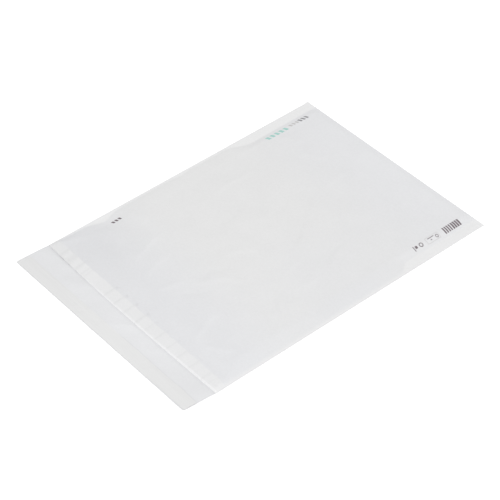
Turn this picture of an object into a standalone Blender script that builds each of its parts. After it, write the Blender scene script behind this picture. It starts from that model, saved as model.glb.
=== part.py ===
"""Padded mailing envelope, lying flat with its flap folded open.

One web of white paper is folded across the bottom and glued down both sides. It lines up
from outside to inside as paper, bubble film, a flat pocket, bubble film and paper. The back
panel runs on past the mouth as the flap, which carries an adhesive strip under a release
liner. Metres, +Z up. X runs across the envelope and +Y from the flap to the bottom fold.
The origin is at the middle of the underside.
"""

import math

import bmesh
import bpy

MM = 0.001

# Envelope, outside
BODY_WIDTH = 370 * MM
BODY_LENGTH = 480 * MM
FLAP_LENGTH = 54 * MM
PAPER = 0.2 * MM

# Side seams and the climb from a seam to the padded middle
SEAM_WIDTH = 15 * MM
SEAM_GLUE = 0.2 * MM
GLUE_INSET = 0.6 * MM
SEAM_SLOPE = 8 * MM

# Bubble film, the height of one layer
FILM = 2.0 * MM
FILM_AT_FOLD = 1.25 * MM
FILM_AT_MOUTH = 1.75 * MM
FILM_SIDE_INSET = 2 * MM
CLEARANCE = 0.3 * MM

# Bottom fold: how far in from it the film is pressed thin
FOLD_PRESS = 26 * MM

# Mouth: paper reaches past the film, and its edge turns down as a low lip
MOUTH_STRIP = 15.7 * MM
MOUTH_RISE = 7 * MM
LIP_RUN = 2.5 * MM
LIP_LEFT = 1.4 * MM
LIP_RIGHT = 3.2 * MM
LIP_GAP = 0.5 * MM
MOUTH_OFFSET_LEFT = 2.0 * MM
MOUTH_OFFSET_MIDDLE = -3.0 * MM
MOUTH_OFFSET_RIGHT = -1.5 * MM

# Pleats across the mouth strip, where the paper buckles beyond the film
PLEAT_PITCH = 22.7 * MM
PLEAT_START = -8.5 * MM
PLEAT_DEPTH = 0.35 * MM

# Flap
FLAP_TAPER = 1.6 * MM
FLAP_CORNER = 5 * MM
FLAP_CURL = 3.4 * MM
FLAP_CURL_LENGTH = 42 * MM

# Adhesive strip on the flap and the liner that covers it
ADHESIVE = 0.2 * MM
ADHESIVE_WIDTH = 12 * MM
ADHESIVE_END_INSET = 12 * MM
LINER = 0.12 * MM
LINER_WIDTH = 21.5 * MM
LINER_FREE_INSET = 0.8 * MM
LINER_SIDE_INSET = 0.6 * MM

# How finely each stretch is divided
SLOPE_STEPS = 4
STRIP_STEPS = 8
FOLD_STEPS = 8
CORNER_STEPS = 4

HALF_WIDTH = BODY_WIDTH / 2
FOLD_Y = (BODY_LENGTH + FLAP_LENGTH) / 2
MOUTH_Y = FOLD_Y - BODY_LENGTH
FLAP_END_Y = MOUTH_Y - FLAP_LENGTH
POCKET_HALF = HALF_WIDTH - SEAM_WIDTH
BODY_GAP = 2 * FILM + 3 * CLEARANCE
FOLD_GAP = 2 * FILM_AT_FOLD + 3 * CLEARANCE
MOUTH_END_GAP = 2 * FILM_AT_MOUTH + 3 * CLEARANCE

PAPER_COLOUR = (0.81, 0.82, 0.83, 1.0)
FILM_COLOUR = (0.80, 0.84, 0.86, 1.0)
ADHESIVE_COLOUR = (0.78, 0.75, 0.62, 1.0)
LINER_COLOUR = (0.79, 0.79, 0.77, 1.0)


def clamp(value, low=0.0, high=1.0):
    return max(low, min(high, value))


def blend(start, end, share):
    """From start to end with a level run at both."""
    share = clamp(share)
    return start + (end - start) * share * share * (3 - 2 * share)


def fullness(x):
    """0 in a side seam and 1 over the padded middle."""
    return math.sin(clamp((POCKET_HALF - abs(x)) / SEAM_SLOPE) * math.pi / 2)


def lip_height(x):
    """The gap under the front panel just before its edge turns down."""
    return LIP_LEFT + (LIP_RIGHT - LIP_LEFT) * (x + HALF_WIDTH) / BODY_WIDTH


def mouth_offset(x):
    """How far the mouth's edge lies from a straight cut, as a shallow bow through three places."""
    across = x / HALF_WIDTH
    tilt = (MOUTH_OFFSET_RIGHT - MOUTH_OFFSET_LEFT) / 2
    bow = (MOUTH_OFFSET_RIGHT + MOUTH_OFFSET_LEFT) / 2 - MOUTH_OFFSET_MIDDLE
    return MOUTH_OFFSET_MIDDLE + tilt * across + bow * across * across


def pocket_gap(x, from_mouth):
    """The clear height between the panels' inner faces."""
    to_fold = BODY_LENGTH - from_mouth
    if from_mouth <= LIP_RUN:
        full = LIP_GAP + (lip_height(x) - LIP_GAP) * from_mouth / LIP_RUN
    elif from_mouth < MOUTH_STRIP:
        climb = (from_mouth - LIP_RUN) / (MOUTH_STRIP - LIP_RUN)
        full = lip_height(x) + (MOUTH_END_GAP - lip_height(x)) * climb
    elif from_mouth < MOUTH_STRIP + MOUTH_RISE:
        full = blend(MOUTH_END_GAP, BODY_GAP, (from_mouth - MOUTH_STRIP) / MOUTH_RISE)
    else:
        full = blend(FOLD_GAP, BODY_GAP, to_fold / FOLD_PRESS)
    return SEAM_GLUE + (full - SEAM_GLUE) * fullness(x)


def flap_height(y):
    """How far the flap's middle surface has curled up from where the back panel lies."""
    share = clamp((MOUTH_Y - (FLAP_LENGTH - FLAP_CURL_LENGTH) - y) / FLAP_CURL_LENGTH)
    return FLAP_CURL * share * share


def flap_half_width(y):
    """Half the flap's width: a light taper, then round free corners."""
    along = clamp((MOUTH_Y - y) / FLAP_LENGTH)
    half = HALF_WIDTH - FLAP_TAPER * along
    reach = FLAP_CORNER - (y - FLAP_END_Y)
    if reach > 0:
        half -= FLAP_CORNER - math.sqrt(FLAP_CORNER**2 - min(reach, FLAP_CORNER) ** 2)
    return half


def stations(start, end, steps):
    """Evenly spaced values after start, up to and with end."""
    return [start + (end - start) * (k + 1) / steps for k in range(steps)]


def columns(edge):
    """Places across the envelope: each pleat, the ridge between two, and the slopes' steps."""
    crest = POCKET_HALF - SEAM_SLOPE
    steps = [crest + SEAM_SLOPE * k / SLOPE_STEPS for k in range(SLOPE_STEPS + 1)]
    right = [x for x in steps if x < edge] + [edge]
    reach = math.ceil(BODY_WIDTH / PLEAT_PITCH)
    lines = [PLEAT_START + PLEAT_PITCH * k / 2 for k in range(-reach, reach + 1)]
    middle = [x for x in lines if abs(x) < crest - PLEAT_PITCH / 8]
    return [-x for x in right[::-1]] + middle + right


def pleat_dip(x, from_mouth):
    """How far the front panel dips along a pleat. It fades out where the film begins."""
    pleat = (x - PLEAT_START) / PLEAT_PITCH
    from_pleat = abs(pleat - round(pleat))
    return PLEAT_DEPTH * (1 - 2 * from_pleat) * fullness(x) * clamp(1 - from_mouth / MOUTH_STRIP)


def fold_radius(x):
    """The bottom fold's radius to the middle of the paper."""
    return (pocket_gap(x, BODY_LENGTH) + PAPER) / 2


def fold_point(x, turn, inside):
    """A point on the bottom fold, so far inside the paper's middle.

    Turn runs from 0 on the back panel to pi on the front.
    """
    radius = fold_radius(x) - inside
    centre_y = FOLD_Y - fold_radius(x) * math.pi / 2
    centre_z = PAPER / 2 + fold_radius(x)
    return (x, centre_y + radius * math.sin(turn), centre_z - radius * math.cos(turn))


def panel_y(x, from_mouth):
    """Where a row of a panel lies along the envelope. The fold's roundness draws it in."""
    drawn_in = fold_radius(x) * math.pi / 2
    return MOUTH_Y + from_mouth - drawn_in * clamp(1 - (BODY_LENGTH - from_mouth) / FOLD_PRESS)


def sheet(name, points, thickness, material, shares=None):
    """A grid of rows of points as an open surface, given its thickness by Solidify.

    Shares, one for each point, thin it to that share of the thickness.
    """
    mesh = bpy.data.meshes.new(name)
    shape = bmesh.new()
    bmesh.ops.create_grid(
        shape, x_segments=len(points[0]) - 1, y_segments=len(points) - 1, size=1.0
    )
    shape.verts.ensure_lookup_table()
    across = len(points[0])
    for index, vert in enumerate(shape.verts):
        vert.co = points[index // across][index % across]
    shape.to_mesh(mesh)
    shape.free()
    mesh.shade_smooth()
    mesh.set_sharp_from_angle(angle=math.radians(40))
    mesh.materials.append(material)
    ob = bpy.data.objects.new(name, mesh)
    parts.objects.link(ob)
    solid = ob.modifiers.new("thickness", "SOLIDIFY")
    solid.thickness = thickness
    solid.offset = 0
    solid.use_even_offset = True
    solid.use_quality_normals = True
    if shares:
        group = ob.vertex_groups.new(name="thickness")
        for index in range(len(mesh.vertices)):
            group.add([index], shares[index // across][index % across], "REPLACE")
        solid.vertex_group = group.name
    return ob


def paint(name, colour, roughness):
    """A plain Principled material."""
    material = bpy.data.materials.new(name)
    material.use_nodes = True
    surface = material.node_tree.nodes["Principled BSDF"]
    surface.inputs["Base Color"].default_value = colour
    surface.inputs["Roughness"].default_value = roughness
    surface.inputs["Metallic"].default_value = 0.0
    return material


def collection(name):
    made = bpy.data.collections.new(name)
    bpy.context.scene.collection.children.link(made)
    return made


def front_rows():
    """Distances from the mouth of the front panel's rows, from the fold to the mouth's edge."""
    rise_end = MOUTH_STRIP + MOUTH_RISE
    press_start = BODY_LENGTH - FOLD_PRESS
    rows = stations(BODY_LENGTH, press_start, 5)
    rows += stations(press_start, rise_end, 6)
    rows += stations(rise_end, MOUTH_STRIP, 3)
    rows += stations(MOUTH_STRIP, LIP_RUN, 3)
    return rows + stations(LIP_RUN, 0, 2)


def flap_rows():
    """Places along the flap, from its free edge to the mouth."""
    turns = [math.pi / 2 * k / CORNER_STEPS for k in range(CORNER_STEPS + 1)]
    corner = [FLAP_END_Y + FLAP_CORNER * (1 - math.cos(turn)) for turn in turns]
    return corner + stations(corner[-1], MOUTH_Y, 6)


def flap_line(x, y):
    """A point of the flap's middle surface. Its outermost points follow the flap's outline."""
    half = flap_half_width(y)
    return (max(-half, min(half, x)), y, PAPER / 2 + flap_height(y))


def front_point(x, from_mouth):
    """A point of the front panel's middle surface. The mouth's edge is drawn to its bow."""
    y = panel_y(x, from_mouth) + mouth_offset(x) * clamp(1 - from_mouth / MOUTH_STRIP)
    height = 1.5 * PAPER + pocket_gap(x, from_mouth) - pleat_dip(x, from_mouth)
    return (x, y, height)


def paper_envelope():
    """The folded web: flap, back panel, bottom fold and front panel, with glued side seams."""
    across = columns(HALF_WIDTH)
    points = [[flap_line(x, y) for x in across] for y in flap_rows()]
    back = stations(0, BODY_LENGTH - FOLD_PRESS, 6)
    back += stations(BODY_LENGTH - FOLD_PRESS, BODY_LENGTH, 3)
    points += [[(x, panel_y(x, d), PAPER / 2) for x in across] for d in back]
    turns = stations(0, math.pi, FOLD_STEPS)
    points += [[fold_point(x, turn, 0) for x in across] for turn in turns]
    points += [[front_point(x, d) for x in across] for d in front_rows()]
    envelope = sheet("paper_envelope", points, PAPER, paint("white_kraft_paper", PAPER_COLOUR, 0.75))
    for side in (-1, 1):
        join = envelope.modifiers.new("seam glue", "BOOLEAN")
        join.operation = "UNION"
        join.object = seam_glue(side)
    return envelope


def seam_glue(side):
    """The line of glue that joins the panels in one side seam, a quarter into each paper."""
    start = MOUTH_Y + max(MOUTH_OFFSET_LEFT, MOUTH_OFFSET_RIGHT) + GLUE_INSET
    end = FOLD_Y - SEAM_GLUE - PAPER - GLUE_INSET
    bpy.ops.mesh.primitive_cube_add(size=1)
    glue = bpy.context.object
    glue.name = "seam_glue_left" if side < 0 else "seam_glue_right"
    glue.scale = (SEAM_WIDTH - 2 * GLUE_INSET, end - start, SEAM_GLUE + PAPER / 2)
    glue.location = (
        side * (POCKET_HALF + SEAM_WIDTH / 2),
        (start + end) / 2,
        PAPER + SEAM_GLUE / 2,
    )
    glue.hide_render = True
    glue.display_type = "WIRE"
    for holder in glue.users_collection:
        holder.objects.unlink(glue)
    cutters.objects.link(glue)
    return glue


def film_height(x, from_mouth):
    """How thick one layer of bubble film is, between its clearances."""
    return (pocket_gap(x, from_mouth) - 3 * CLEARANCE) / 2


def film_back(x, from_mouth):
    """A point on the middle of the layer that lies on the back panel."""
    height = PAPER + CLEARANCE + film_height(x, from_mouth) / 2
    return (x, panel_y(x, from_mouth), height)


def film_front(x, from_mouth):
    """A point on the middle of the layer under the front panel."""
    gap = pocket_gap(x, from_mouth)
    height = PAPER + gap - CLEARANCE - film_height(x, from_mouth) / 2
    return (x, panel_y(x, from_mouth), height)


def film_share(x, from_mouth, surface):
    """The film's thickness square to a surface, as a share of its full height."""
    step = SEAM_SLOPE / SLOPE_STEPS / 2
    rise = surface(x + step, from_mouth)[2] - surface(x - step, from_mouth)[2]
    return film_height(x, from_mouth) * math.cos(math.atan(rise / (2 * step))) / FILM


def bubble_lining():
    """Bubble film folded once like the paper and lying inside it, one layer on each panel."""
    side = POCKET_HALF - FILM_SIDE_INSET
    across = columns(side)
    press_start = BODY_LENGTH - FOLD_PRESS
    up = [MOUTH_STRIP] + stations(MOUTH_STRIP, MOUTH_STRIP + MOUTH_RISE, 3)
    up += stations(up[-1], press_start, 6) + stations(press_start, BODY_LENGTH, 5)
    down = up[::-1]
    turns = stations(0, math.pi, FOLD_STEPS)[:-1]

    def inside(x):
        return PAPER / 2 + CLEARANCE + film_height(x, BODY_LENGTH) / 2

    points = [[film_back(x, d) for x in across] for d in up]
    points += [[fold_point(x, turn, inside(x)) for x in across] for turn in turns]
    points += [[film_front(x, d) for x in across] for d in down]
    shares = [[film_share(x, d, film_back) for x in across] for d in up]
    shares += [[film_share(x, BODY_LENGTH, film_back) for x in across] for _ in turns]
    shares += [[film_share(x, d, film_front) for x in across] for d in down]
    material = paint("bubble_film", FILM_COLOUR, 0.25)
    return sheet("bubble_lining", points, FILM, material, shares)


def flap_strip(name, near, width, side_inset, underside, thickness, material):
    """A strip on the flap, following its curl and its outline, from near the free edge inwards."""
    across = [-1.0] + stations(-1.0, 1.0, STRIP_STEPS)
    corner = [near + (FLAP_CORNER - LINER_FREE_INSET) * k / CORNER_STEPS for k in range(CORNER_STEPS)]
    rows = [y for y in corner if y < near + width] + stations(corner[-1], near + width, 4)
    points = []
    for y in rows:
        half = flap_half_width(y) - side_inset
        height = PAPER + flap_height(y) + underside + thickness / 2
        points.append([(half * share, y, height) for share in across])
    return sheet(name, points, thickness, material)


def adhesive_strip():
    """The pressure-sensitive glue on the flap, along the middle of the liner's width."""
    near = FLAP_END_Y + LINER_FREE_INSET + (LINER_WIDTH - ADHESIVE_WIDTH) / 2
    material = paint("flap_adhesive", ADHESIVE_COLOUR, 0.3)
    return flap_strip(
        "adhesive_strip", near, ADHESIVE_WIDTH, ADHESIVE_END_INSET, CLEARANCE, ADHESIVE, material
    )


def release_liner():
    """The peel-off strip over the adhesive, as wide as the flap."""
    near = FLAP_END_Y + LINER_FREE_INSET
    underside = 2 * CLEARANCE + ADHESIVE
    material = paint("release_paper", LINER_COLOUR, 0.45)
    return flap_strip(
        "release_liner", near, LINER_WIDTH, LINER_SIDE_INSET, underside, LINER, material
    )


for old in list(bpy.data.objects):
    bpy.data.objects.remove(old, do_unlink=True)
parts = collection("bubble_mailer")
cutters = collection("cutters")
paper_envelope()
bubble_lining()
adhesive_strip()
release_liner()
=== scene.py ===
"""Dresses the padded mailing envelope: paper, bubble film, glue, liner and print, and its studio.

Everything is in metres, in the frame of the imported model. +Z is up, X runs across the envelope,
+Y from the flap's free edge to the bottom fold, and the envelope lies on z = 0.
"""

import logging
import math
from collections.abc import Callable
from dataclasses import dataclass
from enum import Enum
from functools import cached_property

import bpy
from mathutils import Matrix, Vector, noise


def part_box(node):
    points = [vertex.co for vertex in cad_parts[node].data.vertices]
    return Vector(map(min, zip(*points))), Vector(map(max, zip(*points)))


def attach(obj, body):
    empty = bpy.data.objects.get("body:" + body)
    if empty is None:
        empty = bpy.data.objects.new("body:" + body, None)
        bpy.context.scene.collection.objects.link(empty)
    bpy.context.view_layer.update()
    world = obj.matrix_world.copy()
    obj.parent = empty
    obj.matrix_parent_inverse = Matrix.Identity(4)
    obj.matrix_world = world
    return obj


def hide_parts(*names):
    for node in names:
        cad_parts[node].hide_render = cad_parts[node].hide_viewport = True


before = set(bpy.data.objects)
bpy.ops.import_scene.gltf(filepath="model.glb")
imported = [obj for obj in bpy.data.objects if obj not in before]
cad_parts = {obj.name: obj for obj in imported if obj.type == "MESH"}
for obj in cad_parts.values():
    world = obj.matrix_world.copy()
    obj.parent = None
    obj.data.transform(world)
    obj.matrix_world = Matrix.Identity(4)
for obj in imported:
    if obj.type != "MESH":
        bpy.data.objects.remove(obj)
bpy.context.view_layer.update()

MM = 0.001
BODY = "root"
TONE_AND_PAINTED_SHADE = "lining"  # paper's attribute: 0 on bare paper, 1 where bubble film lies close behind it, higher with painted shade and lower with painted highlight
COOLNESS = "coolness"  # paper's attribute: how blue its white looks
ALONG_WEB = "along_web"  # film's map: across the web, and along it from one mouth to the other
BUBBLE_RISE = "bubble_rise"  # film's attribute: how high a bubble may stand there

Point = tuple[float, float, float]
Colour = tuple[float, float, float, float]
Tone = tuple[float, float]  # lining with painted shade and highlight, coolness

NOISE_LOW, NOISE_HIGH = 0.3, 0.7  # nearly all of a noise texture's values lie between these
SHARP_FROM = math.radians(40)  # edges that turn more are shaded sharp
MERGED_WITHIN = 0.01 * MM  # points nearer than this become one
INK_MERGED_WITHIN = 0.002 * MM  # well below the ink's own thickness
BACK_TONE: Tone = (0.7, 0.3)

log = logging.getLogger("mailer")


class Slot(Enum):
    """The record's material slots."""

    PAPER = "paper"
    FILM = "bubble_film"
    ADHESIVE = "adhesive"
    RELEASE_PAPER = "release_paper"


def linear(colour: str) -> Colour:
    """Turns an sRGB colour to linear light.

    Args:
        colour: Six hex digits after a hash.

    Returns:
        Red, green and blue in linear light, and a full alpha.
    """
    channels = [int(colour[k : k + 2], 16) / 255 for k in (1, 3, 5)]
    return (*(c / 12.92 if c <= 0.04045 else ((c + 0.055) / 1.055) ** 2.4 for c in channels), 1.0)


def clamp(value: float, low: float = 0.0, high: float = 1.0) -> float:
    """Keeps a value between two limits."""
    return max(low, min(high, value))


def ease(share: float) -> float:
    """A share from 0 to 1 with a level run at both ends."""
    share = clamp(share)
    return share * share * (3 - 2 * share)


def blend(start: float, end: float, share: float) -> float:
    """A value on the eased way from start to end."""
    return start + (end - start) * ease(share)


def bell(offset: float, width: float) -> float:
    """A smooth bump: 1 at no offset, and under 0.02 past two widths."""
    return math.exp(-((offset / width) ** 2))


def stations(start: float, end: float, step: float) -> list[float]:
    """Splits a stretch evenly.

    Args:
        start: Where the stretch starts. It isn't in the result.
        end: Where it ends, which is the last value.
        step: The most that two values may lie apart.

    Returns:
        The values after start.
    """
    count = max(1, math.ceil(abs(end - start) / step - 1e-6))
    return [start + (end - start) * (k + 1) / count for k in range(count)]


def add_node(
    tree: bpy.types.NodeTree,
    kind: str,
    inputs: dict[int | str, object] | None = None,
    **settings: object,
) -> bpy.types.Node:
    """Adds a node with its settings, values and links.

    Args:
        tree: The tree that gets the node.
        kind: The node's type name.
        inputs: For each input, by number or name, a value, the socket to link or a list of sockets.
        settings: The node's own settings, set before its inputs.

    Returns:
        The new node.
    """
    node = tree.nodes.new(kind)
    for name, value in settings.items():
        setattr(node, name, value)
    for key, value in (inputs or {}).items():
        sockets = value if isinstance(value, list) else [value]
        if isinstance(sockets[0], bpy.types.NodeSocket):
            for socket in sockets:
                tree.links.new(socket, node.inputs[key])
        else:
            node.inputs[key].default_value = value
    return node


def grid_mesh(
    name: str, rows: list[list[Point]], attributes: dict[str, list[list[float]]] | None = None
) -> bpy.types.Mesh:
    """Makes an open sheet from rows of points.

    Args:
        name: The mesh's name.
        rows: The points, as many in each row.
        attributes: A number for each point, by attribute name.

    Returns:
        The mesh, smooth shaded.
    """
    across = len(rows[0])
    faces = [
        (k * across + j, k * across + j + 1, (k + 1) * across + j + 1, (k + 1) * across + j)
        for k in range(len(rows) - 1)
        for j in range(across - 1)
    ]
    mesh = bpy.data.meshes.new(name)
    mesh.from_pydata([point for row in rows for point in row], [], faces)
    for key, values in (attributes or {}).items():
        layer = mesh.attributes.new(key, "FLOAT", "POINT")
        layer.data.foreach_set("value", [value for row in values for value in row])
    mesh.shade_smooth()
    return mesh


def add_object(name: str, mesh: bpy.types.Mesh) -> bpy.types.Object:
    """Puts a mesh in the scene as an object at the origin."""
    made = bpy.data.objects.new(name, mesh)
    bpy.context.scene.collection.objects.link(made)
    return made


def give_thickness(piece: bpy.types.Object, thickness: float) -> None:
    """Makes an open sheet a closed shell, with half its wall on each side of the sheet."""
    solid = piece.modifiers.new("wall", "SOLIDIFY")
    solid.thickness = thickness
    solid.offset = 0.0
    solid.use_even_offset = True


def settle(piece: bpy.types.Object) -> None:
    """Turns a piece's modifiers into plain mesh, and removes them."""
    graph = bpy.context.evaluated_depsgraph_get()
    made = bpy.data.meshes.new_from_object(
        piece.evaluated_get(graph), preserve_all_data_layers=True, depsgraph=graph
    )
    first = piece.data
    piece.modifiers.clear()
    piece.data = made
    bpy.data.meshes.remove(first)
    made.name = piece.name
    made.shade_smooth()
    made.set_sharp_from_angle(angle=SHARP_FROM)


def hand_over(piece: bpy.types.Object, slot: Slot, *stands_for: str) -> None:
    """Ties a finished piece to the frame and reports it.

    Args:
        piece: The finished object.
        slot: The record's slot that the piece stands for, which is only logged.
        stands_for: The CAD nodes that it replaces.
    """
    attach(piece, BODY)
    if stands_for:
        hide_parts(*stands_for)
    triangles = sum(len(face.vertices) - 2 for face in piece.data.polygons)
    log.info("%s: %d triangles, slot %s", piece.name, triangles, slot.value)


def start_material(
    name: str, roughness: float
) -> tuple[bpy.types.Material, bpy.types.NodeTree, bpy.types.Node, bpy.types.NodeSocket]:
    """Starts a material.

    Args:
        name: Its name.
        roughness: How rough it is all over.

    Returns:
        The material, its node tree, its main shader and the socket of the object's coordinates.
    """
    material = bpy.data.materials.new(name)
    material.use_nodes = True
    tree = material.node_tree
    surface = tree.nodes["Principled BSDF"]
    surface.inputs["Roughness"].default_value = roughness
    return material, tree, surface, add_node(tree, "ShaderNodeTexCoord").outputs["Object"]


@dataclass(frozen=True)
class KraftPaper:
    """Bleached kraft paper, about 85 g a square metre, machine finished: matt and faintly cloudy.

    It lets a little light through. Bare plies look light. Where bubble film lies behind it, the
    air under it swallows light and the paper looks darker, and towards both ends also cooler. The
    same darker colour paints shade into pleats, dents and crease valleys and beside the lip and the
    liner, and lighter values paint highlights on crease ridges and the lip.
    """

    name: str = "bleached_kraft_paper"
    bare: str = "#ECECEC"
    # the lined colour, which also paints shade into pleats, dents, crease valleys and beside the lip and the
    # liner
    lined_and_shaded: str = "#E7E7E7"
    cool_filter: Point = (0.978, 0.9823, 1.0)
    floc: float = 3.0 * MM  # the pulp's clouds, seen against light
    floc_contrast: float = 0.016
    drift: float = 34 * MM  # slow change of tone from bubble to bubble and fold to fold
    drift_contrast: float = 0.006
    fibre: float = 0.9 * MM  # coarser than real fibres, which would not show
    relief: float = 0.03 * MM
    roughness: float = 0.72

    def build(self) -> bpy.types.Material:
        """Makes the material.

        Returns:
            The finished material.
        """
        material, tree, surface, place = start_material(self.name, self.roughness)
        lining, coolness = (
            add_node(tree, "ShaderNodeAttribute", attribute_name=name).outputs["Fac"]
            for name in (TONE_AND_PAINTED_SHADE, COOLNESS)
        )
        plain, cool_filter = (
            add_node(
                tree, "ShaderNodeMix", {0: share, 6: start, 7: end}, data_type="RGBA", clamp_factor=False
            ).outputs[2]
            for share, start, end in (
                (lining, linear(self.bare), linear(self.lined_and_shaded)),
                (coolness, (1.0, 1.0, 1.0, 1.0), (*self.cool_filter, 1.0)),
            )
        )
        tone = add_node(
            tree, "ShaderNodeVectorMath", {0: plain, 1: cool_filter}, operation="MULTIPLY"
        ).outputs[0]
        flocs, drift, fibres = (
            add_node(
                tree,
                "ShaderNodeTexNoise",
                {0: place, "Scale": 1 / size, "Detail": detail, "Roughness": roughness},
            ).outputs[0]
            for size, detail, roughness in (
                (self.floc, 3.0, 0.6), (self.drift, 2.0, 0.5), (self.fibre, 2.0, 0.5)
            )
        )
        cloudy, drifting = (
            add_node(
                tree,
                "ShaderNodeMapRange",
                {0: pattern, 1: NOISE_LOW, 2: NOISE_HIGH, 3: 1 - contrast, 4: 1 + contrast},
            ).outputs[0]
            for pattern, contrast in ((flocs, self.floc_contrast), (drift, self.drift_contrast))
        )
        level = add_node(tree, "ShaderNodeMath", {0: cloudy, 1: drifting}, operation="MULTIPLY").outputs[0]
        colour = add_node(
            tree, "ShaderNodeVectorMath", {0: tone, "Scale": level}, operation="SCALE"
        ).outputs[0]
        height = add_node(tree, "ShaderNodeMath", {0: fibres, 1: flocs}, operation="ADD").outputs[0]
        bump = add_node(
            tree, "ShaderNodeBump", {"Strength": 1.0, "Distance": self.relief, "Height": height}
        ).outputs[0]
        tree.links.new(colour, surface.inputs["Base Color"])
        tree.links.new(bump, surface.inputs["Normal"])
        return material


@dataclass(frozen=True)
class BubblePolyethylene:
    """Blown low-density polyethylene film, laminated into bubbles: clear, glossy, faintly hazy."""

    name: str = "bubble_polyethylene"
    tint: str = "#EEF3F5"
    haze: float = 6 * MM
    roughness: float = 0.16
    roughness_spread: float = 0.08
    transmission: float = 0.65
    ior: float = 1.51

    def build(self) -> bpy.types.Material:
        """Makes the material.

        Returns:
            The finished material.
        """
        material, tree, surface, place = start_material(self.name, self.roughness)
        surface.inputs["Base Color"].default_value = linear(self.tint)
        surface.inputs["Transmission Weight"].default_value = self.transmission
        surface.inputs["IOR"].default_value = self.ior
        haze = add_node(
            tree, "ShaderNodeTexNoise", {0: place, "Scale": 1 / self.haze, "Detail": 2.0}
        ).outputs[0]
        roughness = add_node(
            tree,
            "ShaderNodeMapRange",
            {0: haze, 3: self.roughness - self.roughness_spread, 4: self.roughness + self.roughness_spread},
        ).outputs[0]
        tree.links.new(roughness, surface.inputs["Roughness"])
        return material


@dataclass(frozen=True)
class HotMeltAdhesive:
    """Pressure-sensitive hot melt, slot coated: amber, glossy and slightly lumpy."""

    name: str = "hot_melt_adhesive"
    colour: str = "#E2DCC3"
    deep_colour: str = "#CFC6A4"
    lump: float = 2.4 * MM
    relief: float = 0.06 * MM
    roughness: float = 0.28

    def build(self) -> bpy.types.Material:
        """Makes the material.

        Returns:
            The finished material.
        """
        material, tree, surface, place = start_material(self.name, self.roughness)
        lumps = add_node(
            tree, "ShaderNodeTexNoise", {0: place, "Scale": 1 / self.lump, "Detail": 2.0}
        ).outputs[0]
        colour = add_node(
            tree,
            "ShaderNodeMix",
            {0: lumps, 6: linear(self.deep_colour), 7: linear(self.colour)},
            data_type="RGBA",
        ).outputs[2]
        bump = add_node(
            tree, "ShaderNodeBump", {"Strength": 1.0, "Distance": self.relief, "Height": lumps}
        ).outputs[0]
        tree.links.new(colour, surface.inputs["Base Color"])
        tree.links.new(bump, surface.inputs["Normal"])
        return material


@dataclass(frozen=True)
class ReleasePaper:
    """Silicone-coated glassine: denser and smoother than kraft, warm grey, streaked lengthwise."""

    name: str = "siliconised_release_paper"
    colour: str = "#E8E8E8"
    end_colour: str = "#E5E5E5"
    streak_length: float = 90 * MM
    streak_width: float = 2.2 * MM
    streak_contrast: float = 0.014
    relief: float = 0.02 * MM
    roughness: float = 0.5

    def build(self) -> bpy.types.Material:
        """Makes the material.

        Returns:
            The finished material.
        """
        material, tree, surface, place = start_material(self.name, self.roughness)
        ends = add_node(tree, "ShaderNodeAttribute", attribute_name=TONE_AND_PAINTED_SHADE).outputs["Fac"]
        tone = add_node(
            tree,
            "ShaderNodeMix",
            {0: ends, 6: linear(self.colour), 7: linear(self.end_colour)},
            data_type="RGBA",
        ).outputs[2]
        drawn = add_node(
            tree,
            "ShaderNodeMapping",
            {0: place, "Scale": (1 / self.streak_length, 1 / self.streak_width, 1 / self.streak_width)},
        ).outputs[0]
        streaks = add_node(tree, "ShaderNodeTexNoise", {0: drawn, "Scale": 1.0, "Detail": 2.0}).outputs[0]
        level = add_node(
            tree,
            "ShaderNodeMapRange",
            {
                0: streaks,
                1: NOISE_LOW,
                2: NOISE_HIGH,
                3: 1 - self.streak_contrast,
                4: 1 + self.streak_contrast,
            },
        ).outputs[0]
        colour = add_node(
            tree, "ShaderNodeVectorMath", {0: tone, "Scale": level}, operation="SCALE"
        ).outputs[0]
        bump = add_node(
            tree, "ShaderNodeBump", {"Strength": 1.0, "Distance": self.relief, "Height": streaks}
        ).outputs[0]
        tree.links.new(colour, surface.inputs["Base Color"])
        tree.links.new(bump, surface.inputs["Normal"])
        return material


@dataclass(frozen=True)
class PrintingInk:
    """Water-based flexo ink on uncoated paper: matt, thin and a little uneven in strength."""

    name: str
    colour: str
    weak_colour: str
    mottle: float = 1.3 * MM
    roughness: float = 0.65

    def build(self) -> bpy.types.Material:
        """Makes the material.

        Returns:
            The finished material.
        """
        material, tree, surface, place = start_material(self.name, self.roughness)
        mottle = add_node(
            tree, "ShaderNodeTexNoise", {0: place, "Scale": 1 / self.mottle, "Detail": 2.0}
        ).outputs[0]
        colour = add_node(
            tree,
            "ShaderNodeMix",
            {0: mottle, 6: linear(self.colour), 7: linear(self.weak_colour)},
            data_type="RGBA",
        ).outputs[2]
        tree.links.new(colour, surface.inputs["Base Color"])
        return material


@dataclass(frozen=True)
class StudioSweep:
    """Matt white studio floor: pure white to the camera, with the object's shadow kept in it."""

    name: str = "white_studio_floor"
    colour: str = "#F4F4F4"
    lift: float = 0.6  # white added for the camera and in reflections alone
    roughness: float = 0.9

    def build(self) -> bpy.types.Material:
        """Makes the material.

        Returns:
            The finished material.
        """
        material, tree, surface, _ = start_material(self.name, self.roughness)
        surface.inputs["Base Color"].default_value = linear(self.colour)
        surface.inputs["Specular IOR Level"].default_value = 0.0
        seen = seen_directly(tree)
        strength = add_node(tree, "ShaderNodeMath", {0: seen, 1: self.lift}, operation="MULTIPLY").outputs[0]
        white = add_node(tree, "ShaderNodeEmission", {"Color": (1, 1, 1, 1), "Strength": strength})
        both = add_node(tree, "ShaderNodeAddShader", {0: surface.outputs[0], 1: white.outputs[0]})
        tree.links.new(both.outputs[0], tree.nodes["Material Output"].inputs["Surface"])
        return material


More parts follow.
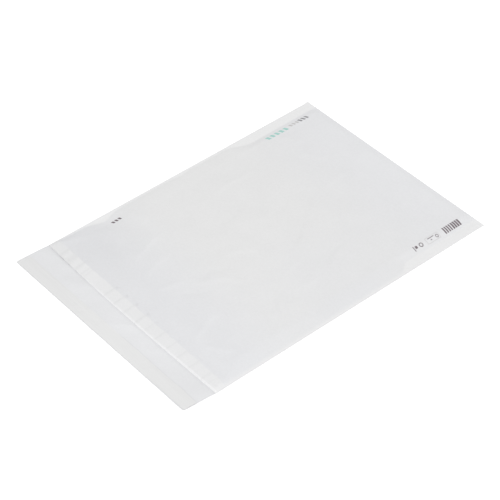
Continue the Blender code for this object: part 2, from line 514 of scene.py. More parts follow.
def seen_directly(tree: bpy.types.NodeTree) -> bpy.types.NodeSocket:
    """Tells rays that show a surface from rays that light the object.

    Args:
        tree: The shader tree.

    Returns:
        A socket that is 1 for camera, glossy and transmission rays.
    """
    path = add_node(tree, "ShaderNodeLightPath").outputs
    seen = path["Is Camera Ray"]
    for kind in ("Is Glossy Ray", "Is Transmission Ray"):
        seen = add_node(tree, "ShaderNodeMath", {0: seen, 1: path[kind]}, operation="MAXIMUM").outputs[0]
    return seen


@dataclass(frozen=True)
class Ramp:
    """A soft rise from 0 to a height, from a start over a reach. A reach below 0 runs backwards."""

    start: float
    reach: float
    height: float = 1.0

    def value(self, place: float) -> float:
        """How far the ramp has risen at a place."""
        return self.height * ease((place - self.start) / self.reach)


@dataclass(frozen=True)
class Bump:
    """A smooth bump round a place."""

    middle: float
    width: float
    height: float = 1.0

    def value(self, place: float) -> float:
        """How high the bump is at a place."""
        return self.height * bell(place - self.middle, self.width)


@dataclass(frozen=True)
class Drift:
    """A smooth uneven change over an area, the same on each run."""

    reach_x: float
    reach_y: float
    layer: float  # another layer gives another pattern
    height: float

    def value(self, x: float, y: float) -> float:
        """The change at a place, mostly within half its height."""
        return self.height * noise.noise(Vector((x / self.reach_x, y / self.reach_y, self.layer)))


@dataclass(frozen=True)
class Crease:
    """A soft ridge or valley pressed into paper along a straight line."""

    start: tuple[float, float]
    end: tuple[float, float]
    height: float  # below 0 for a valley
    width: float
    fade: float = 0.25  # as a share of the length, at each end
    at_end: float = 0.2  # how far along its fade an end already is

    def relief(self, x: float, y: float) -> float:
        """How far the crease lifts the paper at a place.

        Args:
            x: Across the envelope.
            y: Along it.

        Returns:
            The lift, which fades out towards both ends of the line.
        """
        run_x, run_y = self.end[0] - self.start[0], self.end[1] - self.start[1]
        length = math.hypot(run_x, run_y)
        along = ((x - self.start[0]) * run_x + (y - self.start[1]) * run_y) / length
        aside = ((x - self.start[0]) * run_y - (y - self.start[1]) * run_x) / length
        if abs(along - length / 2) > length / 2 + 2 * self.width or abs(aside) > 3 * self.width:
            return 0.0
        fade = [ease(run / (self.fade * length) + self.at_end) for run in (along, length - along)]
        return self.height * fade[0] * fade[1] * bell(aside, self.width)


@dataclass(frozen=True)
class Pleat:
    """A buckle across the mouth strip: a short climb towards +X, then a long fall back."""

    x: float
    climb: float
    height: float
    dent: float = 0.0  # how deep the dent at its inner end is, from 0 to 1
    valley: float = 1.1 * MM  # how wide the painted shade at the foot before the climb is

    def relief(self, x: float, next_x: float) -> float:
        """How far the pleat lifts the paper.

        Args:
            x: Across the envelope.
            next_x: Where the next pleat starts, by when this one has fallen back.

        Returns:
            The lift.
        """
        if not self.x <= x < next_x:
            return 0.0
        if x < self.x + self.climb:
            return self.height * ease((x - self.x) / self.climb)
        return self.height * (1 - (x - self.x - self.climb) / (next_x - self.x - self.climb))


@dataclass(frozen=True)
class Patch:
    """A soft oval area in which the paper is made darker, and lighter where its strength is below 0."""

    x: float
    y: float
    reach_x: float
    reach_y: float
    strength: float

    def value(self, x: float, y: float) -> float:
        """The patch's strength at a place."""
        return self.strength * bell(math.hypot((x - self.x) / self.reach_x, (y - self.y) / self.reach_y), 1)


@dataclass(frozen=True)
class WebForm:
    """The rule that the folded web follows, shared by all that is made of it or lies in it.

    A place on a panel is given by x and by its distance from the mouth's edge. Width and length
    come from the frame. The rest are the sizes that the solids have too, and the paper's buckles.
    """

    width: float
    flap_end_y: float
    fold_y: float
    flap_length: float = 54 * MM
    paper: float = 0.2 * MM
    film_inset_left: float = 19 * MM  # from the envelope's edge to the film's
    film_inset_right: float = 17 * MM

    seam: float = 3.2 * MM  # of the glued edge over most of the length
    seam_at_mouth: float = 1.0 * MM
    seam_at_left_corner: float = 17.5 * MM
    seam_at_right_corner: float = 16.5 * MM
    seam_from_mouth: float = 60 * MM  # by there a seam has its full width
    seam_gap: float = 0.2 * MM
    seam_flat_from_fold: float = 9 * MM
    seam_drift: Drift = Drift(1.0, 45 * MM, 0.7, 0.9 * MM)
    sides_apart: float = 5.3  # in that drift, so that the two sides differ
    left_seam_bumps: tuple[Bump, ...] = (Bump(-124 * MM, 17 * MM, 8.5 * MM), Bump(18 * MM, 9 * MM, 3 * MM))
    left_corner: Ramp = Ramp(96 * MM, 48 * MM)  # along Y, from the narrow seam to the wide one
    right_corner: Ramp = Ramp(112 * MM, 24 * MM)
    slope: float = 30 * MM  # from a seam up to the full height
    slope_at_mouth: float = 5 * MM
    slope_at_corner: float = 14 * MM
    slope_from_mouth: float = 70 * MM

    body_gap: float = 4.9 * MM  # clear heights inside
    fold_gap: float = 0.9 * MM
    film_end_gap: float = 3.5 * MM
    fold_press: float = 17 * MM
    least_radius: float = 0.05 * MM
    strip: float = 15.7 * MM  # unlined paper at the mouth
    rise: float = 34 * MM

    lip_left: float = 1.2 * MM  # how far the mouth stands open
    lip_middle: float = 1.9 * MM
    lip_right: float = 3.1 * MM
    lip_gap: float = 0.2 * MM
    lip_step: Ramp = Ramp(-69 * MM, 4 * MM)  # where the lip comes free
    lip_run_left: float = 1.2 * MM
    lip_run_right: float = 2.6 * MM
    mouth_left: float = 2.0 * MM  # the mouth's edge, as a shallow bow
    mouth_middle: float = -3.0 * MM
    mouth_right: float = -1.5 * MM

    taper: float = 1.3 * MM
    corner: float = 3.5 * MM
    flap_lift: float = 3.8 * MM  # of its free edge, since the crease at the mouth springs back
    flap_spring: float = 0.7  # below 1, so that it rises steepest at the mouth
    flap_free_from: float = 12 * MM
    flap_drift: Drift = Drift(42 * MM, 60 * MM, 6.2, 0.5 * MM)
    flap_drift_lift: float = 0.25 * MM
    liner_inset: float = 0.8 * MM
    liner_width: float = 21.5 * MM
    liner_drift: Drift = Drift(45 * MM, 1.0, 9.0, 0.35 * MM)
    liner_drift_row: float = 0.2  # where in that drift the edge runs
    liner_bump: Bump = Bump(150 * MM, 9 * MM, 0.9 * MM)

    swell: Drift = Drift(110 * MM, 34 * MM, 2.5, 0.442 * MM)  # long waves of the padded body
    swell_turn: float = math.radians(42)
    small_swell: Drift = Drift(21 * MM, 26 * MM, 8.5, 0.119 * MM)
    swell_drop: float = 0.408 * MM  # keeps the waves below the padded height
    waves_from_strip: float = 14 * MM
    waves_from_fold: float = 20 * MM
    pucker: Drift = Drift(40 * MM, 13 * MM, 4.0, 0.22 * MM)  # gathers on the slopes beside the seams
    pucker_reach: float = 0.8  # as a share of the slope
    pleat_height: float = 0.3 * MM
    pleat_climb: float = 1.3 * MM
    pleat_end: Ramp = Ramp(1.5 * MM, -2.5 * MM)  # past the strip
    dent: Bump = Bump(4 * MM, 2.3 * MM, 0.6 * MM)  # past the strip, and how deep
    dent_width: float = 1.9 * MM
    dent_lean: float = 0.25
    dent_shift: float = 1.2 * MM
    dent_reach: float = 8 * MM  # past which it is nothing
    crease_softness: float = 1.25
    crease_drifts: tuple[Drift, Drift] = (
        Drift(32 * MM, 32 * MM, 11.0, 9 * MM), Drift(32 * MM, 32 * MM, 12.0, 9 * MM)
    )

    crease_painted_shading: float = 0.36 / MM  # painted highlight on crease ridges and painted shade in their valleys, per metre of relief
    film_tone: float = 0.85
    film_cloud: Drift = Drift(30 * MM, 30 * MM, 1.5, 0.12)
    film_side_left: float = 4.7 * MM  # how softly the film's side shows through the paper
    film_side_right: float = 8.0 * MM
    film_side_at_corner: float = 2.5 * MM
    film_side_share: float = 0.3
    film_end: Drift = Drift(8 * MM, 1.0, 7.7, 1.2 * MM)
    film_end_row: float = 0.3  # where in that drift the film's end runs
    film_end_softness: float = 1.8 * MM
    seam_light_left: float = 0.48  # two plies glued together look lighter
    seam_light_right: float = 0.2
    strip_tone_middle: float = 0.47  # the strip's single ply has nothing light behind it
    strip_tone_left: Ramp = Ramp(-110 * MM, -75 * MM, 0.8)
    strip_at_seam: float = 0.7
    pleat_painted_shade: float = 0.85  # painted shade in a pleat's narrow valley
    # painted shade in the small dents at the film's end
    dent_painted_shade: float = 1.4
    lip_painted_highlight: Ramp = Ramp(0.3 * MM, -1.0 * MM, 1.75)  # painted highlight on the raised lip, over the light that its slope catches
    lip_light_share: float = 0.8
    # where along X the lip's painted highlight is strong
    lip_highlight_along: tuple[Ramp, Ramp] = (Ramp(-150 * MM, 20 * MM, 0.5), Ramp(-72 * MM, 6 * MM, 0.5))
    flap_base_tone: float = 0.5
    flap_cloud: Drift = Drift(20 * MM, 44 * MM, 3.5, 0.4)
    flap_cloud_lean: float = 0.7
    flap_shades: tuple[Bump, ...] = (
        Bump(150 * MM, 50 * MM, 0.35), Bump(-160 * MM, 50 * MM, 0.35), Bump(60 * MM, 45 * MM, -0.3)
    )
    shade_by_lip: Bump = Bump(0.0, 2.6 * MM, 1.5)
    shade_by_liner: Bump = Bump(0.4 * MM, 0.8 * MM, 1.4)
    liner_stands: Ramp = Ramp(14 * MM, 20 * MM)
    flap_coolness: float = 0.9
    end_coolness: tuple[Ramp, Ramp] = (Ramp(90 * MM, 150 * MM, 0.95), Ramp(-40 * MM, -130 * MM, 1.15))
    side_coolness: tuple[tuple[Ramp, Bump], ...] = (
        (Ramp(-10 * MM, 120 * MM, 0.5), Bump(40 * MM, 110 * MM)),
        (Ramp(148 * MM, 14 * MM, 0.4), Bump(20 * MM, 110 * MM)),
    )
    seam_coolness: float = 0.15
    strip_coolness: float = 0.2

    @cached_property
    def half(self) -> float:
        """Half the envelope's width."""
        return self.width / 2

    @cached_property
    def mouth_y(self) -> float:
        """Where the flap's fold line and the mouth lie, before the mouth's bow."""
        return self.flap_end_y + self.flap_length

    @cached_property
    def length(self) -> float:
        """The body's length, from the mouth to the bottom fold."""
        return self.fold_y - self.mouth_y

    @cached_property
    def pleats(self) -> list[Pleat]:
        """The buckles of the mouth strip, from left to right.

        Returns:
            Wide uneven ones at the left end, then about one line for every second column of
            bubbles, the first four of which run on into a dent.
        """
        # x, run of the climb, share of the full height, share of the full dent, width of the valley's painted
        # shade
        uneven = (
            (-156.5, 4.5, 1.0, 0.0, 2.4), (-139.5, 6.0, 1.2, 0.0, 5.2), (-120.5, 3.0, 1.2, 0.3, 2.8),
            (-106.5, 2.0, 0.9, 0.0, 1.5), (-100.5, 1.5, 0.9, 0.0, 0.9), (-76, 1.3, 0.4, 0.0, 1.1),
        )
        # x, share of the full height, share of the full dent
        even = (
            (-51.9, 1.0, 1.0), (-30.2, 1.1, 1.0), (-8.3, 1.0, 1.0), (16.7, 1.1, 1.0), (36.7, 0.8, 0.4),
            (58.7, 0.9, 0.4), (82.7, 0.8, 0.4), (104.7, 0.9, 0.1), (128.7, 0.8, 0.4), (140.5, 0.35, 0.0),
            (154.6, 0.7, 0.1), (166.4, 0.4, 0.0),
        )
        high = self.pleat_height
        made = [Pleat(x * MM, run * MM, high * part, dent, foot * MM) for x, run, part, dent, foot in uneven]
        return made + [Pleat(x * MM, self.pleat_climb, high * part, dent) for x, part, dent in even]

    @cached_property
    def flap_creases(self) -> list[Crease]:
        """The folds and scuffs on the flap, shared by the liner that lies on it."""
        lines = (
            (-12, -252, 26, -215, 0.8, 9), (-12, -252, 24, -215, 0.16, 1.6),
            (-50, -262, -40, -246, -0.32, 1.8), (-61, -262, -59, -245, 0.24, 2.4),
            (-22, -252, 4, -243, -0.22, 2.2), (84, -268, 86, -247, -0.26, 1.6),
            (94, -264, 98, -250, 0.26, 2.6), (83, -221.4, 115, -221.0, 0.12, 0.9),
            (-110, -240, -88, -219, 0.22, 5), (112, -243, 132, -222, -0.2, 6),
        )
        return self.creases(lines, 1.0)

    @staticmethod
    def creases(lines: tuple[tuple[float, ...], ...], softness: float) -> list[Crease]:
        """Makes creases from a list.

        Args:
            lines: For each crease its start, its end, its height and its width, in mm.
            softness: How many times as wide they are made.

        Returns:
            The creases.
        """
        return [
            Crease((a * MM, b * MM), (c * MM, d * MM), high * MM, softness * wide * MM)
            for a, b, c, d, high, wide in lines
        ]

    @cached_property
    def front_creases(self) -> list[Crease]:
        """The soft folds that handling has left in the front panel, from the fold to the mouth."""
        lines = (
            (-141, 170, -116, 200, 0.5, 4.4), (-98, 168, -64, 202, 0.6, 4.4), (-19, 208, -16, 150, 0.4, 4.4),
            (-22, 130, 50, 36, -0.6, 3.2), (-116, 100, -109, 26, 0.55, 4.2), (80, 104, 105, 36, -0.55, 3.6),
            (78, 26, 83, -16, 0.4, 4.4), (111, 27, 112, -5, 0.5, 4.0), (14, -3, -5, -42, 0.55, 4.2),
            (60, -46, 3, -116, 0.55, 4.4), (3, -116, -12, -152, 0.6, 4.2), (-96, -86, -75, -142, 0.95, 4.4),
            (-58, -100, -40, -152, 0.8, 4.2), (74, -126, 97, -180, 0.8, 3.6),
            (139, -150, 118, -182, 0.65, 3.4), (-141, -72, -125, -92, 0.6, 3.8),
            (-131, -115, -120, -140, 0.5, 4.2), (129, -58, 131, -80, 0.4, 5.0),
            (106, -44, 140, -66, -0.5, 3.6), (-168, 250, -154, 262, 0.3, 2.5), (20, -60, 12, -96, -0.55, 3.4),
            (-70, 60, -50, -20, -0.4, 3.6), (40, -96, 20, -140, -0.45, 3.4), (-30, 70, -24, 30, 0.4, 4.0),
        )
        return self.creases(lines, self.crease_softness)

    @cached_property
    def tone_patches(self) -> list[Patch]:
        """Where the front panel's white is made darker than on average, and where lighter."""
        # x, y, reach along X, reach along Y, strength
        ovals = (
            (-140, -168, 75, 52, 0.85), (-20, -180, 150, 34, 0.25), (140, 150, 60, 120, 0.05),
            (0, 262, 220, 60, -0.6), (0, 268, 260, 11, -0.8), (-168, 60, 13, 190, -0.55),
            (-168, -150, 10, 60, -0.4), (165, 20, 16, 130, 0.32),
        )
        return [Patch(x * MM, y * MM, wide * MM, long * MM, value) for x, y, wide, long, value in ovals]

    def corner_share(self, side: int, y: float) -> float:
        """0 along a side, and 1 by the bottom corner, where the film draws back from the edge."""
        return (self.left_corner if side < 0 else self.right_corner).value(y)

    def seam_width(self, side: int, y: float) -> float:
        """How wide a side seam is.

        Args:
            side: -1 for the left side and 1 for the right one.
            y: Along the envelope.

        Returns:
            The width of the glued edge.
        """
        from_mouth = (y - self.mouth_y) / self.seam_from_mouth
        plain = blend(self.seam_at_mouth, self.seam, from_mouth)
        if side < 0:
            plain += sum(bump.value(y) for bump in self.left_seam_bumps)
        wide = self.seam_at_left_corner if side < 0 else self.seam_at_right_corner
        wander = self.seam_drift.value(side * self.sides_apart, y) * clamp(from_mouth)
        return plain + (wide - plain) * self.corner_share(side, y) + wander

    def from_edge(self, x: float, y: float) -> float:
        """How far a place lies inside the pocket's nearer side, below 0 in a seam."""
        return self.half - self.seam_width(-1 if x < 0 else 1, y) - abs(x)

    def slope_width(self, side: int, y: float) -> float:
        """How far the paper takes from a seam up to the full height."""
        plain = blend(self.slope_at_mouth, self.slope, (y - self.mouth_y) / self.slope_from_mouth)
        return plain + (self.slope_at_corner - plain) * self.corner_share(side, y)

    def fullness(self, x: float, y: float) -> float:
        """0 in a side seam and 1 over the padded middle, half way between two plain curves."""
        share = clamp(self.from_edge(x, y) / self.slope_width(-1 if x < 0 else 1, y))
        return (ease(share) + math.sin(share * math.pi / 2)) / 2

    def lip_height(self, x: float) -> float:
        """How far the mouth's edge stands open. It steps up where the lip comes free."""
        along = clamp((x - self.lip_step.start) / (self.half - self.lip_step.start))
        free = self.lip_middle + (self.lip_right - self.lip_middle) * along
        return blend(self.lip_left, free, self.lip_step.value(x))

    def lip_run(self, x: float) -> float:
        """How far in from its edge the mouth's paper turns down."""
        return self.lip_run_left + (self.lip_run_right - self.lip_run_left) * (x + self.half) / self.width

    def mouth_offset(self, x: float) -> float:
        """How far the mouth's edge lies from a straight cut, as a shallow bow."""
        across = x / self.half
        tilt = (self.mouth_right - self.mouth_left) / 2
        bow = (self.mouth_right + self.mouth_left) / 2 - self.mouth_middle
        return self.mouth_middle + tilt * across + bow * across * across

    def gap(self, x: float, from_mouth: float) -> float:
        """The clear height between the panels' inner faces, before the paper's own relief.

        Args:
            x: Across the envelope.
            from_mouth: Distance from the mouth's edge.

        Returns:
            The height.
        """
        run, lip = self.lip_run(x), self.lip_height(x)
        if from_mouth <= run:
            full = self.lip_gap + (lip - self.lip_gap) * math.sin(from_mouth / run * math.pi / 2)
        elif from_mouth < self.strip:
            full = lip + (self.film_end_gap - lip) * (from_mouth - run) / (self.strip - run)
        elif from_mouth < self.strip + self.rise:
            full = blend(self.film_end_gap, self.body_gap, (from_mouth - self.strip) / self.rise)
        else:
            share = clamp((self.length - from_mouth) / self.fold_press)
            full = self.fold_gap + (self.body_gap - self.fold_gap) * math.sin(share * math.pi / 2)
        flat = blend(self.fold_gap, self.seam_gap, (self.length - from_mouth) / self.seam_flat_from_fold)
        return flat + (full - flat) * self.fullness(x, self.mouth_y + from_mouth)

    def waves(self, x: float, y: float) -> float:
        """The body's long diagonal waves, never above the padded height."""
        turn_c, turn_s = math.cos(self.swell_turn), math.sin(self.swell_turn)
        long = self.swell.value(x * turn_c + y * turn_s, y * turn_c - x * turn_s)
        return long + self.small_swell.value(x, y) - self.swell_drop

    def crumple(self, x: float, y: float) -> float:
        """What the front's creases add, which wander a little off their straight lines."""
        aside, along = (drift.value(x, y) for drift in self.crease_drifts)
        return sum(crease.relief(x + aside, y + along) for crease in self.front_creases)

    def relief(self, x: float, from_mouth: float) -> float:
        """What the paper's buckles add to the front panel's height.

        Args:
            x: Across the envelope.
            from_mouth: Distance from the mouth's edge.

        Returns:
            The lift, mostly below 0.
        """
        y = self.mouth_y + from_mouth
        inside = self.from_edge(x, y)
        if inside <= 0:
            return 0.0
        full = self.fullness(x, y)
        past = from_mouth - self.strip
        calm = ease(past / self.waves_from_strip) * ease((self.length - from_mouth) / self.waves_from_fold)
        lift = (self.waves(x, y) + self.crumple(x, y)) * full * calm
        slope = self.slope_width(-1 if x < 0 else 1, y)
        lift -= abs(self.pucker.value(x, y)) * calm * bell(inside - slope, self.pucker_reach * slope)
        held = self.pleat_end.value(past)
        if held > 0:
            starts = [pleat.x for pleat in self.pleats] + [self.half]
            buckle = sum(p.relief(x, after) for p, after in zip(self.pleats, starts[1:]))
            lift += (buckle - self.pleat_height / 2) * held * full
        return lift - self.dents(x, from_mouth) * full

    def dents(self, x: float, from_mouth: float) -> float:
        """How deep the small dents are where pleats run into the film's end."""
        past = from_mouth - self.strip
        if abs(past - self.dent.middle) > self.dent_reach:
            return 0.0
        lean = self.dent_lean * past - self.dent_shift
        near = [p for p in self.pleats if abs(x - p.x) < self.dent_reach]
        return self.dent.value(past) * sum(p.dent * bell(x - p.x + lean, self.dent_width) for p in near)

    def pleat_shade(self, x: float) -> float:
        """How much painted shade a pleat's narrow valley puts on a place, from 0 to 1."""
        return sum(p.height / self.pleat_height * bell(x - p.x, p.valley) for p in self.pleats)

    def fold_radius(self, x: float) -> float:
        """The bottom fold's radius to the middle of the paper."""
        return (self.gap(x, self.length) + self.paper) / 2

    def panel_y(self, x: float, from_mouth: float) -> float:
        """Where a row of a panel lies, drawn in by the fold's roundness."""
        drawn_in = self.fold_radius(x) * math.pi / 2
        share = clamp(1 - (self.length - from_mouth) / self.fold_press)
        return self.mouth_y + from_mouth - drawn_in * share

    def back_point(self, x: float, from_mouth: float, inwards: float) -> Point:
        """A point so far inwards of the middle of the back panel's paper."""
        return (x, self.panel_y(x, from_mouth), self.paper / 2 + inwards)

    def fold_point(self, x: float, turn: float, inwards: float) -> Point:
        """A point on the bottom fold.

        Args:
            x: Across the envelope.
            turn: 0 at the back panel and pi at the front.
            inwards: How far inside the middle of the paper.

        Returns:
            The point.
        """
        middle = self.fold_radius(x)
        radius = max(middle - inwards, self.least_radius)
        y = self.fold_y - self.paper / 2 - middle + radius * math.sin(turn)
        return (x, y, self.paper / 2 + middle - radius * math.cos(turn))

    def front_point(self, x: float, from_mouth: float, inwards: float) -> Point:
        """A point so far inwards, and so below, the middle of the front panel's paper."""
        bow = self.mouth_offset(x) * clamp(1 - from_mouth / self.strip)
        height = 1.5 * self.paper + self.gap(x, from_mouth) + self.relief(x, from_mouth)
        return (x, self.panel_y(x, from_mouth) + bow, height - inwards)

    def flap_rise(self, x: float, y: float) -> float:
        """How high the flap's paper stands above the back panel's level, with its creases."""
        free = ease((self.mouth_y - y) / self.flap_free_from)
        wave = self.flap_drift.value(x, y) + self.flap_drift_lift
        creases = sum(crease.relief(x, y) for crease in self.flap_creases)
        spring = self.flap_lift * clamp((self.mouth_y - y) / self.flap_length) ** self.flap_spring
        return spring + free * max(wave + creases, -spring / 2)

    def flap_half(self, y: float) -> float:
        """Half the flap's width: a light taper, then round free corners."""
        half = self.half - self.taper * clamp((self.mouth_y - y) / self.flap_length)
        reach = self.corner - (y - self.flap_end_y)
        if reach > 0:
            half -= self.corner - math.sqrt(self.corner**2 - min(reach, self.corner) ** 2)
        return half

    def liner_edge(self, x: float) -> float:
        """Where the liner's inner edge lies, with the waviness of a strip laid by machine."""
        wave = self.liner_drift.value(x, self.liner_drift_row) + self.liner_bump.value(x)
        return self.flap_end_y + self.liner_inset + self.liner_width + wave

    def flap_tone(self, x: float, y: float) -> Tone:
        """How the flap's white differs: the web's cool inner face, with painted shadow by the lip and the
        liner, and painted shade and highlight along its creases.

        Args:
            x: Across the envelope.
            y: Along it.

        Returns:
            The lining with its painted shade and highlight, and the coolness.
        """
        lean = self.flap_cloud_lean
        tone = self.flap_base_tone + self.flap_cloud.value(x - lean * y, y + lean * x)
        # Painted highlight on the flap's crease ridges and painted shade in their valleys
        tone -= self.crease_painted_shading * sum(crease.relief(x, y) for crease in self.flap_creases)
        tone += sum(shade.value(x) for shade in self.flap_shades)
        tone += self.shade_by_lip.value(y - self.mouth_y - self.mouth_offset(x))
        tone += self.liner_stands.value(x) * self.shade_by_liner.value(y - self.liner_edge(x))
        return tone, self.flap_coolness

    def strip_tone(self, x: float, from_mouth: float) -> float:
        """How dark the unlined strip at the mouth is, with painted shade in its pleats' valleys and a painted
        highlight on its lip.
        """
        from_lip = from_mouth - self.lip_light_share * self.lip_run(x)
        standing = sum(ramp.value(x) for ramp in self.lip_highlight_along)
        # Painted shade in the pleats' valleys
        tone = self.strip_tone_middle + self.strip_tone_left.value(x) + self.pleat_painted_shade * self.pleat_shade(x)
        # Painted highlight on the lip
        return tone - self.lip_painted_highlight.value(from_lip) * standing

    def cooling(self, x: float, y: float) -> float:
        """How blue the film's air makes the paper: most at both ends, and some at the right side."""
        ends = sum(ramp.value(y) for ramp in self.end_coolness)
        return ends + sum(ramp.value(x) * bump.value(y) for ramp, bump in self.side_coolness)

    def tone(self, x: float, y: float, from_mouth: float) -> Tone:
        """How the film behind the front panel changes the paper's white, with painted shade and highlight
        added.

        Args:
            x: Across the envelope.
            y: Along it.
            from_mouth: Distance from the mouth's edge.

        Returns:
            The lining, 0 on bare paper and about 1 where film lies close, with painted shade and highlight in
            it, and the coolness.
        """
        left = x < 0
        plain = self.film_side_left if left else self.film_side_right
        soft = plain + (self.film_side_at_corner - plain) * self.corner_share(-1 if left else 1, y)
        backed = ease(self.from_edge(x, y) / soft + self.film_side_share)
        end = self.strip + self.film_end.value(x, self.film_end_row)
        behind = ease((from_mouth - end) / self.film_end_softness + 0.5)
        film = self.film_tone + sum(patch.value(x, y) for patch in self.tone_patches)
        # Painted highlight on the front's crease ridges and painted shade in their valleys
        film += self.film_cloud.value(x, y) - self.crease_painted_shading * self.crumple(x, y)
        seam = (self.seam_light_left if left else self.seam_light_right) * (1 - backed)
        strip = self.strip_tone(x, from_mouth) * (self.strip_at_seam + (1 - self.strip_at_seam) * backed)
        lined_and_shaded = blend(strip, film * backed - seam, behind)
        # Painted shade in the dents
        dent = self.dent_painted_shade * self.dents(x, from_mouth) / self.dent.height
        share = self.strip_coolness + (1 - self.strip_coolness) * behind
        share = self.seam_coolness + (1 - self.seam_coolness) * backed * share
        return lined_and_shaded + dent, self.cooling(x, y) * share


@dataclass
class PaperEnvelope:
    """The web of paper: flap, back panel, bottom fold and front panel, glued down both sides."""

    form: WebForm
    name: str = "folded_paper"
    body_pitch: float = 3.0 * MM
    column_pitch: float = 2.7 * MM
    rim: float = 0.8 * MM
    side: float = 25 * MM  # how far in from each side the columns lie closer
    side_pitch: float = 1.3 * MM
    least_pitch: float = 0.8 * MM
    foot_width: float = 0.4 * MM  # from a pleat's foot to the column before it
    corner_steps: int = 6
    flap_pitch: float = 1.4 * MM
    near_mouth: float = 6 * MM
    mouth_pitch: float = 0.6 * MM
    # Up to how far past the liner's inner edge, or the strip's, and how far apart rows lie till there
    by_liner: tuple[tuple[float, float], ...] = ((-1 * MM, 1.4 * MM), (2 * MM, 0.4 * MM))
    by_strip: tuple[tuple[float, float], ...] = (
        (10 * MM, 3.0 * MM), (1.2 * MM, 1.0 * MM), (-1.2 * MM, 0.6 * MM)
    )
    strip_pitch: float = 1.5 * MM
    lip_pitch: float = 0.27 * MM
    fold_steps: int = 12
    back_pitch: float = 30 * MM
    fold_pitch: float = 1.9 * MM
    glue_inset: float = 0.5 * MM
    glue_least: float = 0.8 * MM
    glue_from_fold: float = 10 * MM
    glue_pitch: float = 12 * MM

    def columns(self) -> list[float]:
        """Places across the web, closer near the sides and at each pleat.

        Returns:
            The places, from left to right.
        """
        form = self.form
        rim, inner = form.half - self.rim, form.half - self.side
        places = [-form.half, -rim, *stations(-rim, -inner, self.side_pitch)]
        for pleat in form.pleats:
            for x in (pleat.x - self.foot_width, pleat.x + pleat.climb):
                if places[-1] + self.least_pitch < x < inner:
                    places += stations(places[-1], x, self.column_pitch)
        places += stations(places[-1], inner, self.column_pitch)
        return [*places, *stations(inner, rim, self.side_pitch), form.half]

    def flap_rows(self) -> list[float]:
        """Places along the flap, closer at the round corners, the liner's edge and the mouth."""
        form = self.form
        turns = [math.pi / 2 * k / self.corner_steps for k in range(self.corner_steps + 1)]
        rows = [form.flap_end_y + form.corner * (1 - math.cos(turn)) for turn in turns]
        edge = form.flap_end_y + form.liner_inset + form.liner_width
        for past, pitch in self.by_liner:
            rows += stations(rows[-1], edge + past, pitch)
        rows += stations(rows[-1], form.mouth_y - self.near_mouth, self.flap_pitch)
        return rows + stations(rows[-1], form.mouth_y, self.mouth_pitch)

    def front_rows(self) -> list[float]:
        """Distances from the mouth of the front panel's rows, from the fold to the mouth's edge."""
        form = self.form
        rows = stations(form.length, form.length - form.fold_press, self.fold_pitch)
        for past, pitch in self.by_strip:
            rows += stations(rows[-1], form.strip + past, pitch)
        rows += stations(rows[-1], form.lip_run_right, self.strip_pitch)
        return rows + stations(rows[-1], 0, self.lip_pitch)

    def build(self, finish: KraftPaper) -> bpy.types.Object:
        """Makes the folded paper.

        Args:
            finish: The paper's finish.

        Returns:
            The finished piece.
        """
        form = self.form
        across = self.columns()
        rows: list[list[Point]] = []
        tones: list[list[Tone]] = []

        def add_row(place: Callable[[float], Point], tone: Callable[[float, float], Tone]) -> None:
            """Adds one row of points and their tones."""
            points = [place(x) for x in across]
            rows.append(points)
            tones.append([tone(point[0], point[1]) for point in points])

        for y in self.flap_rows():
            half = form.flap_half(y)
            add_row(
                lambda x: (clamp(x, -half, half), y, form.paper / 2 + form.flap_rise(x, y)), form.flap_tone
            )
        press = form.length - form.fold_press
        for d in stations(0, press, self.back_pitch) + stations(press, form.length, self.body_pitch):
            add_row(lambda x: form.back_point(x, d, 0), lambda x, y: BACK_TONE)
        for turn in stations(0, math.pi, math.pi / self.fold_steps):
            add_row(lambda x: form.fold_point(x, turn, 0), lambda x, y: form.tone(x, y, form.length))
        for d in self.front_rows():
            add_row(lambda x: form.front_point(x, d, 0), lambda x, y: form.tone(x, y, d))

        split = {
            TONE_AND_PAINTED_SHADE: [[tone[0] for tone in row] for row in tones],
            COOLNESS: [[tone[1] for tone in row] for row in tones],
        }
        piece = add_object(self.name, grid_mesh(self.name, rows, split))
        give_thickness(piece, form.paper)
        settle(piece)
        self.add_seam_glue(piece)
        piece.data.materials.append(finish.build())
        return piece

    def add_seam_glue(self, piece: bpy.types.Object) -> None:
        """Adds the line of glue that joins the panels in each side seam.

        Args:
            piece: The paper, which gets both lines as closed strips.
        """
        form = self.form
        start = form.mouth_y + form.mouth_left + self.glue_inset
        end = form.fold_y - self.glue_from_fold
        strips = []
        for side in (-1, 1):
            rows = []
            for y in [start, *stations(start, end, self.glue_pitch)]:
                edge = side * (form.half - self.glue_inset)
                wide = max(form.seam_width(side, y) - self.glue_inset, self.glue_least)
                inner = side * (form.half - wide)
                rows.append([(x, y, form.paper + form.seam_gap / 2) for x in sorted((edge, inner))])
            strip = add_object("seam_glue", grid_mesh("seam_glue", rows))
            give_thickness(strip, form.seam_gap)
            settle(strip)
            strips.append(strip)
        with bpy.context.temp_override(
            active_object=piece, selected_editable_objects=[piece, *strips]
        ):
            bpy.ops.object.join()


def start_tree(
    name: str, **wanted: tuple[str, ...]
) -> tuple[bpy.types.NodeTree, bpy.types.bpy_prop_collection]:
    """Starts a tree of Geometry Nodes that takes and gives back geometry.

    Args:
        name: Its name.
        wanted: For each kind of socket, the names of its further inputs.

    Returns:
        The tree and its inputs, as sockets.
    """
    tree = bpy.data.node_groups.new(name, "GeometryNodeTree")
    sockets = {"Geometry": ("Base",), **wanted}
    for kind, names in sockets.items():
        for socket in names:
            tree.interface.new_socket(socket, in_out="INPUT", socket_type="NodeSocket" + kind)
    tree.interface.new_socket("Result", in_out="OUTPUT", socket_type="NodeSocketGeometry")
    return tree, add_node(tree, "NodeGroupInput").outputs


